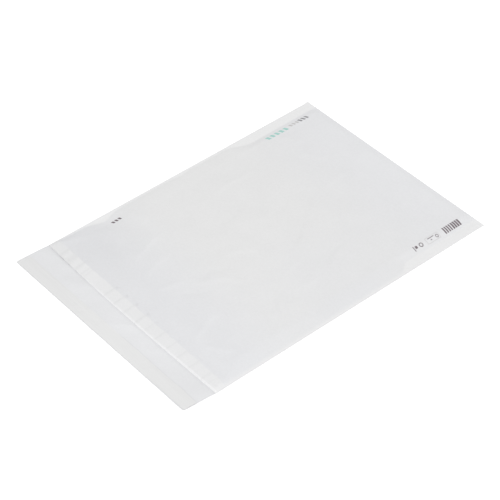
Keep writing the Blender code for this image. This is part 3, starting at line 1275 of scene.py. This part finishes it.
def close_sheet(
    tree: bpy.types.NodeTree, sheet: bpy.types.NodeSocket, thickness: bpy.types.NodeSocket, within: float
) -> bpy.types.NodeSocket:
    """Makes an open sheet a closed one, by nodes.

    Args:
        tree: The tree of Geometry Nodes.
        sheet: The open sheet.
        thickness: How far its other face lies along its normals.
        within: How near points are that become one.

    Returns:
        The closed sheet.
    """
    normal = add_node(tree, "GeometryNodeInputNormal").outputs[0]
    raised = add_node(
        tree,
        "GeometryNodeExtrudeMesh",
        {0: sheet, "Offset": normal, "Offset Scale": thickness, "Individual": False},
    ).outputs[0]
    underside = add_node(tree, "GeometryNodeFlipFaces", {0: sheet}).outputs[0]
    both = add_node(tree, "GeometryNodeJoinGeometry", {0: [raised, underside]}).outputs[0]
    return add_node(tree, "GeometryNodeMergeByDistance", {0: both, "Distance": within}).outputs[0]


def finish_tree(
    tree: bpy.types.NodeTree, made: list[bpy.types.NodeSocket], material: bpy.types.NodeSocket
) -> bpy.types.NodeTree:
    """Joins what a tree made, makes its copies real, dresses it and hands it out.

    Args:
        tree: The tree of Geometry Nodes.
        made: The pieces of geometry that it made.
        material: The material's socket.

    Returns:
        The tree.
    """
    joined = add_node(tree, "GeometryNodeJoinGeometry", {0: made}).outputs[0]
    real = add_node(tree, "GeometryNodeRealizeInstances", {0: joined}).outputs[0]
    dressed = add_node(tree, "GeometryNodeSetMaterial", {0: real, "Material": material}).outputs[0]
    add_node(tree, "NodeGroupOutput", {0: dressed})
    return tree


def grow(piece: bpy.types.Object, tree: bpy.types.NodeTree, values: dict[str, object]) -> None:
    """Runs a node tree on a piece and keeps the result as plain mesh.

    Args:
        piece: The object.
        tree: The tree. Its first input is the object's own geometry.
        values: The tree's other inputs, by name.
    """
    nodes = piece.modifiers.new("growth", "NODES")
    nodes.node_group = tree
    for item in tree.interface.items_tree:
        if item.item_type == "SOCKET" and item.in_out == "INPUT" and item.name in values:
            nodes[item.identifier] = values[item.name]
    settle(piece)


@dataclass
class BubbleFilm:
    """The web of bubble film, folded like the paper and lying in it, its bubbles to the pocket."""

    form: WebForm
    name: str = "bubble_film"
    clearance: float = 0.3 * MM
    sheet: float = 0.1 * MM
    bubble_radius: float = 5.1 * MM
    row_pitch: float = 13.1 * MM
    columns: int = 29
    bubble_sides: int = 9
    seam_clearance: float = 2.2 * MM  # from a seam's inner edge, where the pocket is too thin
    bubble_rings: int = 3
    least_rise: float = 0.12 * MM
    crown_reach: float = 0.93  # how far up its rounding a bubble's flat crown lies
    crown_power: float = 3.2
    end_margin: float = 1.1  # in bubble radii, from the film's end to the first bubble's centre
    step_across: float = 5.7 * MM
    step_along: float = 8 * MM
    step_on_slope: float = 1.6 * MM
    step_at_end: float = 1.5 * MM
    step_at_fold: float = 3 * MM
    fold_steps: int = 10
    near_end: float = 12 * MM

    def web(self) -> bpy.types.Object:
        """Makes the film's outer face as an open sheet with its map and the room for bubbles.

        Returns:
            The sheet, whose normals point to the pocket.
        """
        form = self.form
        left, right = -form.half + form.film_inset_left, form.half - form.film_inset_right
        slope = form.slope
        across = [left, *stations(left, left + slope, self.step_on_slope)]
        across += stations(across[-1], right - slope, self.step_across)
        across += stations(across[-1], right, self.step_on_slope)
        inwards = form.paper / 2 + self.clearance
        press = form.length - form.fold_press
        calm = form.strip + self.near_end
        up = [form.strip, *stations(form.strip, calm, self.step_at_end)]
        up += stations(calm, press, self.step_along) + stations(press, form.length, self.step_at_fold)

        def lowest(x: float, d: float) -> float:
            """The lowest relief that the front panel has within half a step of the web's grid."""
            near_x = (x - self.step_across / 2, x, x + self.step_across / 2)
            near_d = (d - self.step_along / 2, d, d + self.step_along / 2)
            return min(form.relief(a, b) for a in near_x for b in near_d)

        def under_front(x: float, d: float, low: float) -> Point:
            """A point of the layer under the front panel, clear of its creases and dents."""
            return form.front_point(x, d, inwards + form.relief(x, d) - low)

        rows, rises, along = [], [], []
        travelled = 0.0
        places: list[tuple[Callable[[float, float], Point], float]] = []
        for d in up:
            places.append((lambda x, low, d=d: form.back_point(x, d, inwards), d))
        for turn in stations(0, math.pi, math.pi / self.fold_steps)[:-1]:
            places.append((lambda x, low, turn=turn: form.fold_point(x, turn, inwards), form.length))
        for d in reversed(up):
            places.append((lambda x, low, d=d: under_front(x, d, low), d))
        for place, d in places:
            reach = form.half - self.seam_clearance
            inner_left, inner_right = (reach - form.seam_width(side, form.mouth_y + d) for side in (-1, 1))
            squeeze = (min(1, inner_left / -left), min(1, inner_right / right))
            spread = [x * squeeze[x > 0] for x in across]
            lows = [lowest(x, d) for x in spread]
            row = [place(x, low) for x, low in zip(spread, lows)]
            if rows:
                middle = len(across) // 2
                travelled += (Vector(row[middle]) - Vector(rows[-1][middle])).length
            rows.append(row)
            along.append(travelled)
            # Air is left between each panel and its layer, and between both layers' bubbles
            rooms = [(form.gap(x, d) + low - 3 * self.clearance) / 2 for x, low in zip(spread, lows)]
            rises.append([max(room, self.least_rise) for room in rooms])
        mesh = grid_mesh(self.name, rows, {BUBBLE_RISE: rises})
        flat = mesh.attributes.new(ALONG_WEB, "FLOAT2", "CORNER")
        values: list[float] = []
        for face in mesh.polygons:
            for vertex in face.vertices:
                values += [across[vertex % len(across)], along[vertex // len(across)]]
        flat.data.foreach_set("vector", values)
        return add_object(self.name, mesh)

    def grow_tree(self) -> bpy.types.NodeTree:
        """Makes the node tree that covers a web with bubbles.

        Rows of bubbles are set half a pitch apart in neighbouring columns. They are laid out flat
        and then carried onto the web point by point, so that they follow its slopes and its fold
        and are as high as its room at each point.

        Returns:
            The tree, with the web as its base, and the sizes and the material as its other inputs.
        """
        tree, given = start_tree(
            "bubbles on a web",
            Float=("Row Length", "Even Span", "Odd Span", "Bubble Radius", "Sheet"),
            Int=("Rows", "Even Columns", "Odd Columns", "Bubble Sides", "Bubble Rings"),
            Vector=("Even Centre", "Odd Centre"),
            Material=("Film",),
        )

        # Flat layout: two plain grids of points, the odd columns moved on by half a pitch
        columns = []
        for part in ("Even", "Odd"):
            size = {
                "Size X": given[part + " Span"],
                "Size Y": given["Row Length"],
                "Vertices X": given[part + " Columns"],
                "Vertices Y": given["Rows"],
            }
            flat = add_node(tree, "GeometryNodeMeshGrid", size).outputs["Mesh"]
            moved = {0: flat, "Translation": given[part + " Centre"]}
            columns.append(add_node(tree, "GeometryNodeTransform", moved).outputs[0])
        centres = add_node(tree, "GeometryNodeJoinGeometry", {0: columns}).outputs[0]

        # One bubble of unit height: a drum whose wall rounds over to a flattened crown
        drum = add_node(
            tree,
            "GeometryNodeMeshCone",
            {
                "Vertices": given["Bubble Sides"],
                "Side Segments": given["Bubble Rings"],
                "Radius Top": given["Bubble Radius"],
                "Radius Bottom": given["Bubble Radius"],
                "Depth": 1.0,
            },
            fill_type="NGON",
        ).outputs["Mesh"]
        place = add_node(tree, "GeometryNodeInputPosition").outputs[0]
        spot = add_node(tree, "ShaderNodeSeparateXYZ", {0: place}).outputs
        waist = spot["Z"]
        steps = (
            ("MULTIPLY", {1: self.crown_reach}),
            ("POWER", {1: self.crown_power}),
            ("MULTIPLY_ADD", {1: -1.0, 2: 1.0}),
            ("POWER", {1: 0.5}),
        )
        for operation, numbers in steps:
            waist = add_node(tree, "ShaderNodeMath", {0: waist, **numbers}, operation=operation).outputs[0]
        round_off = add_node(tree, "ShaderNodeCombineXYZ", {0: waist, 1: waist, 2: 1.0}).outputs[0]
        shaped = add_node(
            tree, "ShaderNodeVectorMath", {0: place, 1: round_off}, operation="MULTIPLY"
        ).outputs[0]
        bubble = add_node(tree, "GeometryNodeSetPosition", {0: drum, "Position": shaped}).outputs[0]
        copies = add_node(
            tree, "GeometryNodeInstanceOnPoints", {"Points": centres, "Instance": bubble}
        ).outputs[0]
        all_flat = add_node(tree, "GeometryNodeRealizeInstances", {0: copies}).outputs[0]

        # The web under each point: where it is, which way it faces and the room over it
        chart = add_node(
            tree, "GeometryNodeInputNamedAttribute", {"Name": ALONG_WEB}, data_type="FLOAT_VECTOR"
        ).outputs["Attribute"]
        room = add_node(
            tree, "GeometryNodeInputNamedAttribute", {"Name": BUBBLE_RISE}, data_type="FLOAT"
        ).outputs["Attribute"]
        normal = add_node(tree, "GeometryNodeInputNormal").outputs[0]
        on_web = add_node(tree, "ShaderNodeCombineXYZ", {"X": spot["X"], "Y": spot["Y"]}).outputs[0]
        found = [
            add_node(
                tree,
                "GeometryNodeSampleUVSurface",
                {0: given["Base"], 1: value, 2: chart, 3: on_web},
                data_type=kind,
            ).outputs[0]
            for value, kind in ((place, "FLOAT_VECTOR"), (normal, "FLOAT_VECTOR"), (room, "FLOAT"))
        ]
        high = add_node(tree, "ShaderNodeMath", {0: found[2], 1: spot["Z"]}, operation="MULTIPLY").outputs[0]
        stand = add_node(
            tree, "ShaderNodeVectorMath", {0: found[1], "Scale": high}, operation="SCALE"
        ).outputs[0]
        carried = add_node(tree, "ShaderNodeVectorMath", {0: found[0], 1: stand}, operation="ADD").outputs[0]
        whole_bubbles = add_node(
            tree, "GeometryNodeSetPosition", {0: all_flat, "Position": carried}
        ).outputs[0]

        closed = close_sheet(tree, given["Base"], given["Sheet"], MERGED_WITHIN)
        return finish_tree(tree, [closed, whole_bubbles], given["Film"])

    def build(self, finish: BubblePolyethylene) -> bpy.types.Object:
        """Makes the lining.

        Args:
            finish: The film's finish.

        Returns:
            The finished piece.
        """
        piece = self.web()
        length = max(item.vector[1] for item in piece.data.attributes[ALONG_WEB].data)
        margins = 2 * self.end_margin * self.bubble_radius + self.row_pitch / 2
        gaps = math.floor((length - margins) / self.row_pitch)
        across = self.row_pitch * math.sqrt(3) / 2
        even, odd = (self.columns + 1) // 2, self.columns // 2
        shift = self.row_pitch / 4
        grow(
            piece,
            self.grow_tree(),
            {
                "Row Length": gaps * self.row_pitch,
                "Rows": gaps + 1,
                "Even Span": 2 * across * (even - 1),
                "Even Columns": even,
                "Even Centre": (0.0, length / 2 - shift, 0.0),
                "Odd Span": 2 * across * (odd - 1),
                "Odd Columns": odd,
                "Odd Centre": (0.0, length / 2 + shift, 0.0),
                "Bubble Radius": self.bubble_radius,
                "Sheet": self.sheet,
                "Bubble Sides": self.bubble_sides,
                "Bubble Rings": self.bubble_rings,
                "Film": finish.build(),
            },
        )
        return piece


@dataclass
class FlapClosure:
    """The strip of glue on the flap and the liner that covers it."""

    form: WebForm
    liner: float = 0.12 * MM
    liner_side_inset: float = 0.6 * MM
    liner_taper: float = 0.8  # the flap's taper by the liner, as a share of the whole
    liner_skew: Ramp = Ramp(80 * MM, 60 * MM, 0.9 * MM)  # along X, how far its outer edge draws back
    adhesive: float = 0.2 * MM
    adhesive_width: float = 10 * MM
    adhesive_end_inset: float = 12 * MM
    adhesive_clear: float = 0.1 * MM
    adhesive_edge: Drift = Drift(9 * MM, 1.0, 2.0, 0.3 * MM)
    crown: float = 0.06 * MM
    lift: float = 0.16 * MM
    droop: float = 3 * MM  # how far beside the glue the liner comes down
    loose_end: Ramp = Ramp(18 * MM, 40 * MM, 0.35 * MM)
    loose_edge: Ramp = Ramp(0.0, 9 * MM)
    ripple: Drift = Drift(60 * MM, 3.4 * MM, 5.5, 0.07 * MM)
    pitch: float = 1.6 * MM
    lighter_middle: Bump = Bump(15 * MM, 95 * MM)
    edge_shares: tuple[float, ...] = (0.0, 0.02, 0.05, 0.09)
    share_step: float = 0.055
    glue_shares: tuple[float, ...] = (0.4, 0.8, 0.94, 1.0)

    @cached_property
    def middle(self) -> float:
        """Where the middle of the liner's width lies, and the glue's."""
        return self.form.flap_end_y + self.form.liner_inset + self.form.liner_width / 2

    def outer_edge(self, x: float) -> float:
        """Where the liner's outer edge lies: it draws back from the flap's edge on the right."""
        return self.form.flap_end_y + self.form.liner_inset + self.liner_skew.value(x)

    def liner_height(self, x: float, y: float) -> float:
        """The middle of the liner over the flap: up on the glue, drooping at both edges."""
        from_middle = y - self.middle
        on_glue = 1 - ease((abs(from_middle) - self.adhesive_width / 2) / self.droop)
        loose = self.loose_end.value(x) * self.loose_edge.value(from_middle)
        rest = self.form.paper + self.lift + self.liner / 2 + self.form.flap_rise(x, y)
        return rest + self.adhesive * on_glue + loose + self.ripple.value(x, y)

    def build_liner(self, finish: ReleasePaper) -> bpy.types.Object:
        """Makes the release liner.

        Args:
            finish: The release paper's finish.

        Returns:
            The finished piece.
        """
        form = self.form
        half = form.half - self.liner_side_inset - self.liner_taper * form.taper
        across = [-half, *stations(-half, half, self.pitch)]
        shares = [*self.edge_shares, *stations(self.edge_shares[-1], 1.0, self.share_step)]
        rows = []
        for share in shares:
            row = []
            for x in across:
                y = self.outer_edge(x) + share * (form.liner_edge(x) - self.outer_edge(x))
                edge = form.flap_half(y) - self.liner_side_inset
                x_in = clamp(x, -edge, edge)
                row.append((x_in, y, self.liner_height(x_in, y)))
            rows.append(row)
        ends = [[1 - self.lighter_middle.value(point[0]) for point in row] for row in rows]
        piece = add_object("release_strip", grid_mesh("release_strip", rows, {TONE_AND_PAINTED_SHADE: ends}))
        give_thickness(piece, self.liner)
        settle(piece)
        piece.data.materials.append(finish.build())
        return piece

    def build_adhesive(self, finish: HotMeltAdhesive) -> bpy.types.Object:
        """Makes the glue strip, with the soft uneven edges of a coated bead.

        Args:
            finish: The glue's finish.

        Returns:
            The finished piece.
        """
        form = self.form
        half = form.half - self.adhesive_end_inset
        across = [-half, *stations(-half, half, self.pitch)]
        rows = []
        for share in (*(-share for share in reversed(self.glue_shares)), 0.0, *self.glue_shares):
            row = []
            for x in across:
                y = self.middle + share * (self.adhesive_width / 2 + self.adhesive_edge.value(x, share))
                over = self.adhesive_clear + self.adhesive / 3 + self.crown * math.sqrt(1 - share * share)
                row.append((x, y, form.paper + over + form.flap_rise(x, y)))
            rows.append(row)
        piece = add_object("glue_strip", grid_mesh("glue_strip", rows))
        give_thickness(piece, self.adhesive / 2)
        settle(piece)
        piece.data.materials.append(finish.build())
        return piece


class MarkShape(Enum):
    """The plain shapes that printed rows are made of."""

    BLOCK = "block"
    RING = "ring"


@dataclass(frozen=True)
class PrintRow:
    """A row of equal plain shapes printed on the front panel, along Y. Its sizes are in mm."""

    x: float
    y: float
    width: float  # of one shape, along X
    length: float  # of one shape, along Y
    count: int = 1
    pitch: float = 0.0
    slant: float = 0.0  # how far a block's +X end is moved along Y
    shape: MarkShape = MarkShape.BLOCK


@dataclass
class FrontPrint:
    """The printed marks: plain blocks, stripes, a ruled box and rings, laid on the paper."""

    paper: bpy.types.Object
    lift: float = 0.012 * MM
    ink: float = 0.02 * MM
    drop_from: float = 30 * MM
    mesh_pitch: float = 1.0  # in mm, like the rows
    ring_sides: int = 20
    ring_band: float = 0.36  # a ring's band as a share of its radius

    def print_tree(self, row: PrintRow) -> bpy.types.NodeTree:
        """Makes the node tree that repeats one shape and lays the row on the paper.

        Args:
            row: The row, whose shape decides which nodes make one copy.

        Returns:
            The tree, with the row's sizes, the paper and the ink as its inputs.
        """
        tree, given = start_tree(
            "row of " + row.shape.value,
            Float=("Width", "Length", "Lean", "Lift", "Ink"),
            Int=("Count", "Steps Across", "Steps Along"),
            Vector=("Half Size", "Start", "Step", "Drop From"),
            Object=("Paper",),
            Material=("Colour",),
        )
        place = add_node(tree, "GeometryNodeInputPosition").outputs[0]
        spot = add_node(tree, "ShaderNodeSeparateXYZ", {0: place}).outputs
        if row.shape is MarkShape.RING:
            # A unit square, bent round to a band and stretched to its size
            size = {"Size X": 1.0, "Size Y": 1.0, "Vertices X": self.ring_sides + 1, "Vertices Y": 3}
            turn = add_node(
                tree, "ShaderNodeMath", {0: spot["X"], 1: 2 * math.pi, 2: math.pi}, operation="MULTIPLY_ADD"
            ).outputs[0]
            reach = add_node(
                tree,
                "ShaderNodeMath",
                {0: spot["Y"], 1: -self.ring_band, 2: 1 - self.ring_band / 2},
                operation="MULTIPLY_ADD",
            ).outputs[0]
            spoke = add_node(tree, "ShaderNodeCombineXYZ", {0: reach}).outputs[0]
            unit = add_node(
                tree, "ShaderNodeVectorRotate", {"Vector": spoke, "Angle": turn}, rotation_type="Z_AXIS"
            ).outputs[0]
            bent = add_node(
                tree, "ShaderNodeVectorMath", {0: unit, 1: given["Half Size"]}, operation="MULTIPLY"
            ).outputs[0]
        else:
            size = {
                "Size X": given["Width"],
                "Size Y": given["Length"],
                "Vertices X": given["Steps Across"],
                "Vertices Y": given["Steps Along"],
            }
            leaning = add_node(
                tree,
                "ShaderNodeMath",
                {0: spot["X"], 1: given["Lean"], 2: spot["Y"]},
                operation="MULTIPLY_ADD",
            ).outputs[0]
            bent = add_node(tree, "ShaderNodeCombineXYZ", {0: spot["X"], 1: leaning}).outputs[0]
        flat = add_node(tree, "GeometryNodeMeshGrid", size).outputs["Mesh"]
        shape = add_node(tree, "GeometryNodeSetPosition", {0: flat, "Position": bent}).outputs[0]
        shape = add_node(
            tree, "GeometryNodeMergeByDistance", {0: shape, "Distance": MERGED_WITHIN}
        ).outputs[0]

        line = add_node(
            tree,
            "GeometryNodeMeshLine",
            {"Count": given["Count"], "Start Location": given["Start"], "Offset": given["Step"]},
        ).outputs[0]
        copies = add_node(
            tree, "GeometryNodeInstanceOnPoints", {"Points": line, "Instance": shape}
        ).outputs[0]
        row_flat = add_node(tree, "GeometryNodeRealizeInstances", {0: copies}).outputs[0]

        # Dropped on the paper, just clear of it, then given the ink's thickness
        paper = add_node(
            tree, "GeometryNodeObjectInfo", {"Object": given["Paper"]}, transform_space="RELATIVE"
        ).outputs["Geometry"]
        above = add_node(
            tree, "ShaderNodeVectorMath", {0: place, 1: given["Drop From"]}, operation="ADD"
        ).outputs[0]
        landed = add_node(
            tree,
            "GeometryNodeRaycast",
            {0: paper, "Source Position": above, "Ray Direction": (0, 0, -1), "Ray Length": 1.0},
            data_type="FLOAT_VECTOR",
        ).outputs
        clear = add_node(
            tree,
            "ShaderNodeVectorMath",
            {0: landed["Hit Normal"], "Scale": given["Lift"]},
            operation="SCALE",
        ).outputs[0]
        rest = add_node(
            tree, "ShaderNodeVectorMath", {0: landed["Hit Position"], 1: clear}, operation="ADD"
        ).outputs[0]
        laid = add_node(tree, "GeometryNodeSetPosition", {0: row_flat, "Position": rest}).outputs[0]
        inked = close_sheet(tree, laid, given["Ink"], INK_MERGED_WITHIN)
        return finish_tree(tree, [inked], given["Colour"])

    def build(self, name: str, finish: PrintingInk, rows: list[PrintRow]) -> bpy.types.Object:
        """Prints rows in one ink.

        Args:
            name: The piece's name.
            finish: The ink's finish.
            rows: What is printed in it.

        Returns:
            The finished piece.
        """
        colour = finish.build()
        printed = []
        for row in rows:
            holder = add_object(name, bpy.data.meshes.new(name))
            grow(
                holder,
                self.print_tree(row),
                {
                    "Width": row.width * MM,
                    "Length": row.length * MM,
                    "Half Size": (row.width / 2 * MM, row.length / 2 * MM, 0.0),
                    "Lean": row.slant / row.width,
                    "Lift": self.lift,
                    "Ink": self.ink,
                    "Drop From": (0.0, 0.0, self.drop_from),
                    "Count": row.count,
                    "Steps Across": max(2, math.ceil(row.width / self.mesh_pitch) + 1),
                    "Steps Along": max(2, math.ceil(row.length / self.mesh_pitch) + 1),
                    "Start": (row.x * MM, (row.y - (row.count - 1) * row.pitch / 2) * MM, 0.0),
                    "Step": (0.0, row.pitch * MM, 0.0),
                    "Paper": self.paper,
                    "Colour": colour,
                },
            )
            printed.append(holder)
        if len(printed) > 1:
            with bpy.context.temp_override(active_object=printed[0], selected_editable_objects=printed):
                bpy.ops.object.join()
        return printed[0]


@dataclass
class Studio:
    """The white floor, the soft light from the camera's side, and the camera."""

    floor_size: float = 12.0
    floor_drop: float = 0.15 * MM
    sky: float = 0.82  # plain light from all round
    key_power: float = 24.0
    key_size: float = 1.5
    key_distance: float = 3.2
    key_azimuth: float = 52.0
    key_elevation: float = 42.0
    lens: float = 136.31
    view_reach: float = 50.0
    target: Point = (7.5 * MM, -8.8 * MM, 0.0)
    distance: float = 2604.3 * MM
    azimuth: float = 51.142
    elevation: float = 42.744
    roll: float = -1.84

    @staticmethod
    def seen_from(target: Vector, azimuth: float, elevation: float, distance: float) -> Vector:
        """A place round a target.

        Args:
            target: The point looked at.
            azimuth: Degrees round from the flap's side towards +X.
            elevation: Degrees above the floor.
            distance: How far from the target.

        Returns:
            The place.
        """
        turn, rise = math.radians(azimuth), math.radians(elevation)
        way = Vector((math.sin(turn) * math.cos(rise), -math.cos(turn) * math.cos(rise), math.sin(rise)))
        return target + distance * way

    def aim(self, thing: bpy.types.Object, target: Vector, roll: float = 0.0) -> None:
        """Turns a lamp or the camera to a target, then rolls it by so many degrees."""
        way = (target - thing.location).to_track_quat("-Z", "Y")
        thing.rotation_euler = (way.to_matrix() @ Matrix.Rotation(math.radians(roll), 3, "Z")).to_euler()

    def build(self) -> None:
        """Makes the floor, the world, the key lamp and the camera."""
        half = self.floor_size / 2
        corners = [[(-half, y, -self.floor_drop), (half, y, -self.floor_drop)] for y in (-half, half)]
        floor = add_object("floor", grid_mesh("floor", corners))
        floor.data.materials.append(StudioSweep().build())

        scene = bpy.context.scene
        world = bpy.data.worlds.new("plain_white")
        world.use_nodes = True
        scene.world = world
        tree = world.node_tree
        plain = tree.nodes["Background"]
        plain.inputs["Color"].default_value = (1, 1, 1, 1)
        strength = add_node(
            tree, "ShaderNodeMapRange", {0: seen_directly(tree), 3: self.sky, 4: 1.0}
        ).outputs[0]
        tree.links.new(strength, plain.inputs["Strength"])

        lamp = bpy.data.lights.new("key", "AREA")
        lamp.energy = self.key_power
        lamp.size = self.key_size
        key = bpy.data.objects.new("key", lamp)
        scene.collection.objects.link(key)
        centre = Vector((0, 0, 0))
        key.location = self.seen_from(centre, self.key_azimuth, self.key_elevation, self.key_distance)
        self.aim(key, centre)

        camera = bpy.data.objects.new("camera", bpy.data.cameras.new("camera"))
        scene.collection.objects.link(camera)
        camera.data.lens = self.lens
        camera.data.clip_end = self.view_reach
        target = Vector(self.target)
        camera.location = self.seen_from(target, self.azimuth, self.elevation, self.distance)
        self.aim(camera, target, self.roll)
        scene.camera = camera
        scene.view_settings.view_transform = "Standard"


def print_rows() -> dict[str, tuple[PrintingInk, list[PrintRow]]]:
    """Lists the generic marks, by the name of the piece that each ink makes.

    Returns:
        For each piece, its ink and its rows.
    """
    dark_grey = PrintingInk("dark_grey_flexo_ink", "#7C7C80", "#A6A6A9")
    pale_grey = PrintingInk("pale_grey_flexo_ink", "#BBB9B8", "#D3D1D0")
    teal = PrintingInk("teal_flexo_ink", "#98CEC5", "#B6DCD5")
    umber = PrintingInk("umber_flexo_ink", "#5F5459", "#8C8287")
    ring = MarkShape.RING
    return {
        "print_fold_end_row": (dark_grey, [PrintRow(-156.0, 231.6, 7.2, 3.4, 3, 6.1, 2.4)]),
        "print_pale_marks": (
            pale_grey,
            [
                PrintRow(-155.9, 213.3, 5.6, 3.2, 3, 6.1, 2.4),
                PrintRow(154.4, 192.4, 0.5, 23.6),
                PrintRow(163.9, 192.4, 0.5, 23.6),
                PrintRow(159.15, 192.4, 9.2, 0.5, 2, 23.2),
            ],
        ),
        "print_teal_row": (teal, [PrintRow(-154.8, 179.8, 7.4, 4.9, 5, 8.4, 2.6)]),
        "print_umber_marks": (
            umber,
            [
                PrintRow(159.2, 236.6, 10.6, 2.8, 4, 4.0),
                PrintRow(159.2, 220.6, 10.6, 2.2, 4, 3.8),
                PrintRow(156.9, 190.2, 1.1, 11.5),
                PrintRow(160.4, 189.2, 1.4, 2.0),
                PrintRow(159.6, 200.2, 5.4, 5.0, shape=ring),
                PrintRow(158.8, 170.8, 7.0, 6.6, shape=ring),
                PrintRow(158.4, 162.2, 4.2, 3.8),
                PrintRow(159.0, 158.0, 8.0, 1.2),
                PrintRow(-160.3, -111.8, 5.0, 3.4, 3, 5.6, 1.6),
            ],
        ),
    }


def main() -> None:
    """Builds the envelope's sub-assemblies in order, then the studio, and reports each piece."""
    logging.basicConfig(level=logging.INFO, format="%(message)s")
    low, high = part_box("paper_envelope")
    form = WebForm(width=high.x - low.x, flap_end_y=low.y, fold_y=high.y)

    envelope = PaperEnvelope(form).build(KraftPaper())
    hand_over(envelope, Slot.PAPER, "paper_envelope")
    hand_over(BubbleFilm(form).build(BubblePolyethylene()), Slot.FILM, "bubble_lining")
    closure = FlapClosure(form)
    hand_over(closure.build_adhesive(HotMeltAdhesive()), Slot.ADHESIVE, "adhesive_strip")
    hand_over(closure.build_liner(ReleasePaper()), Slot.RELEASE_PAPER, "release_liner")
    front_print = FrontPrint(envelope)
    for name, (ink, rows) in print_rows().items():
        hand_over(front_print.build(name, ink, rows), Slot.PAPER)
    Studio().build()


if __name__ == "__main__":
    main()
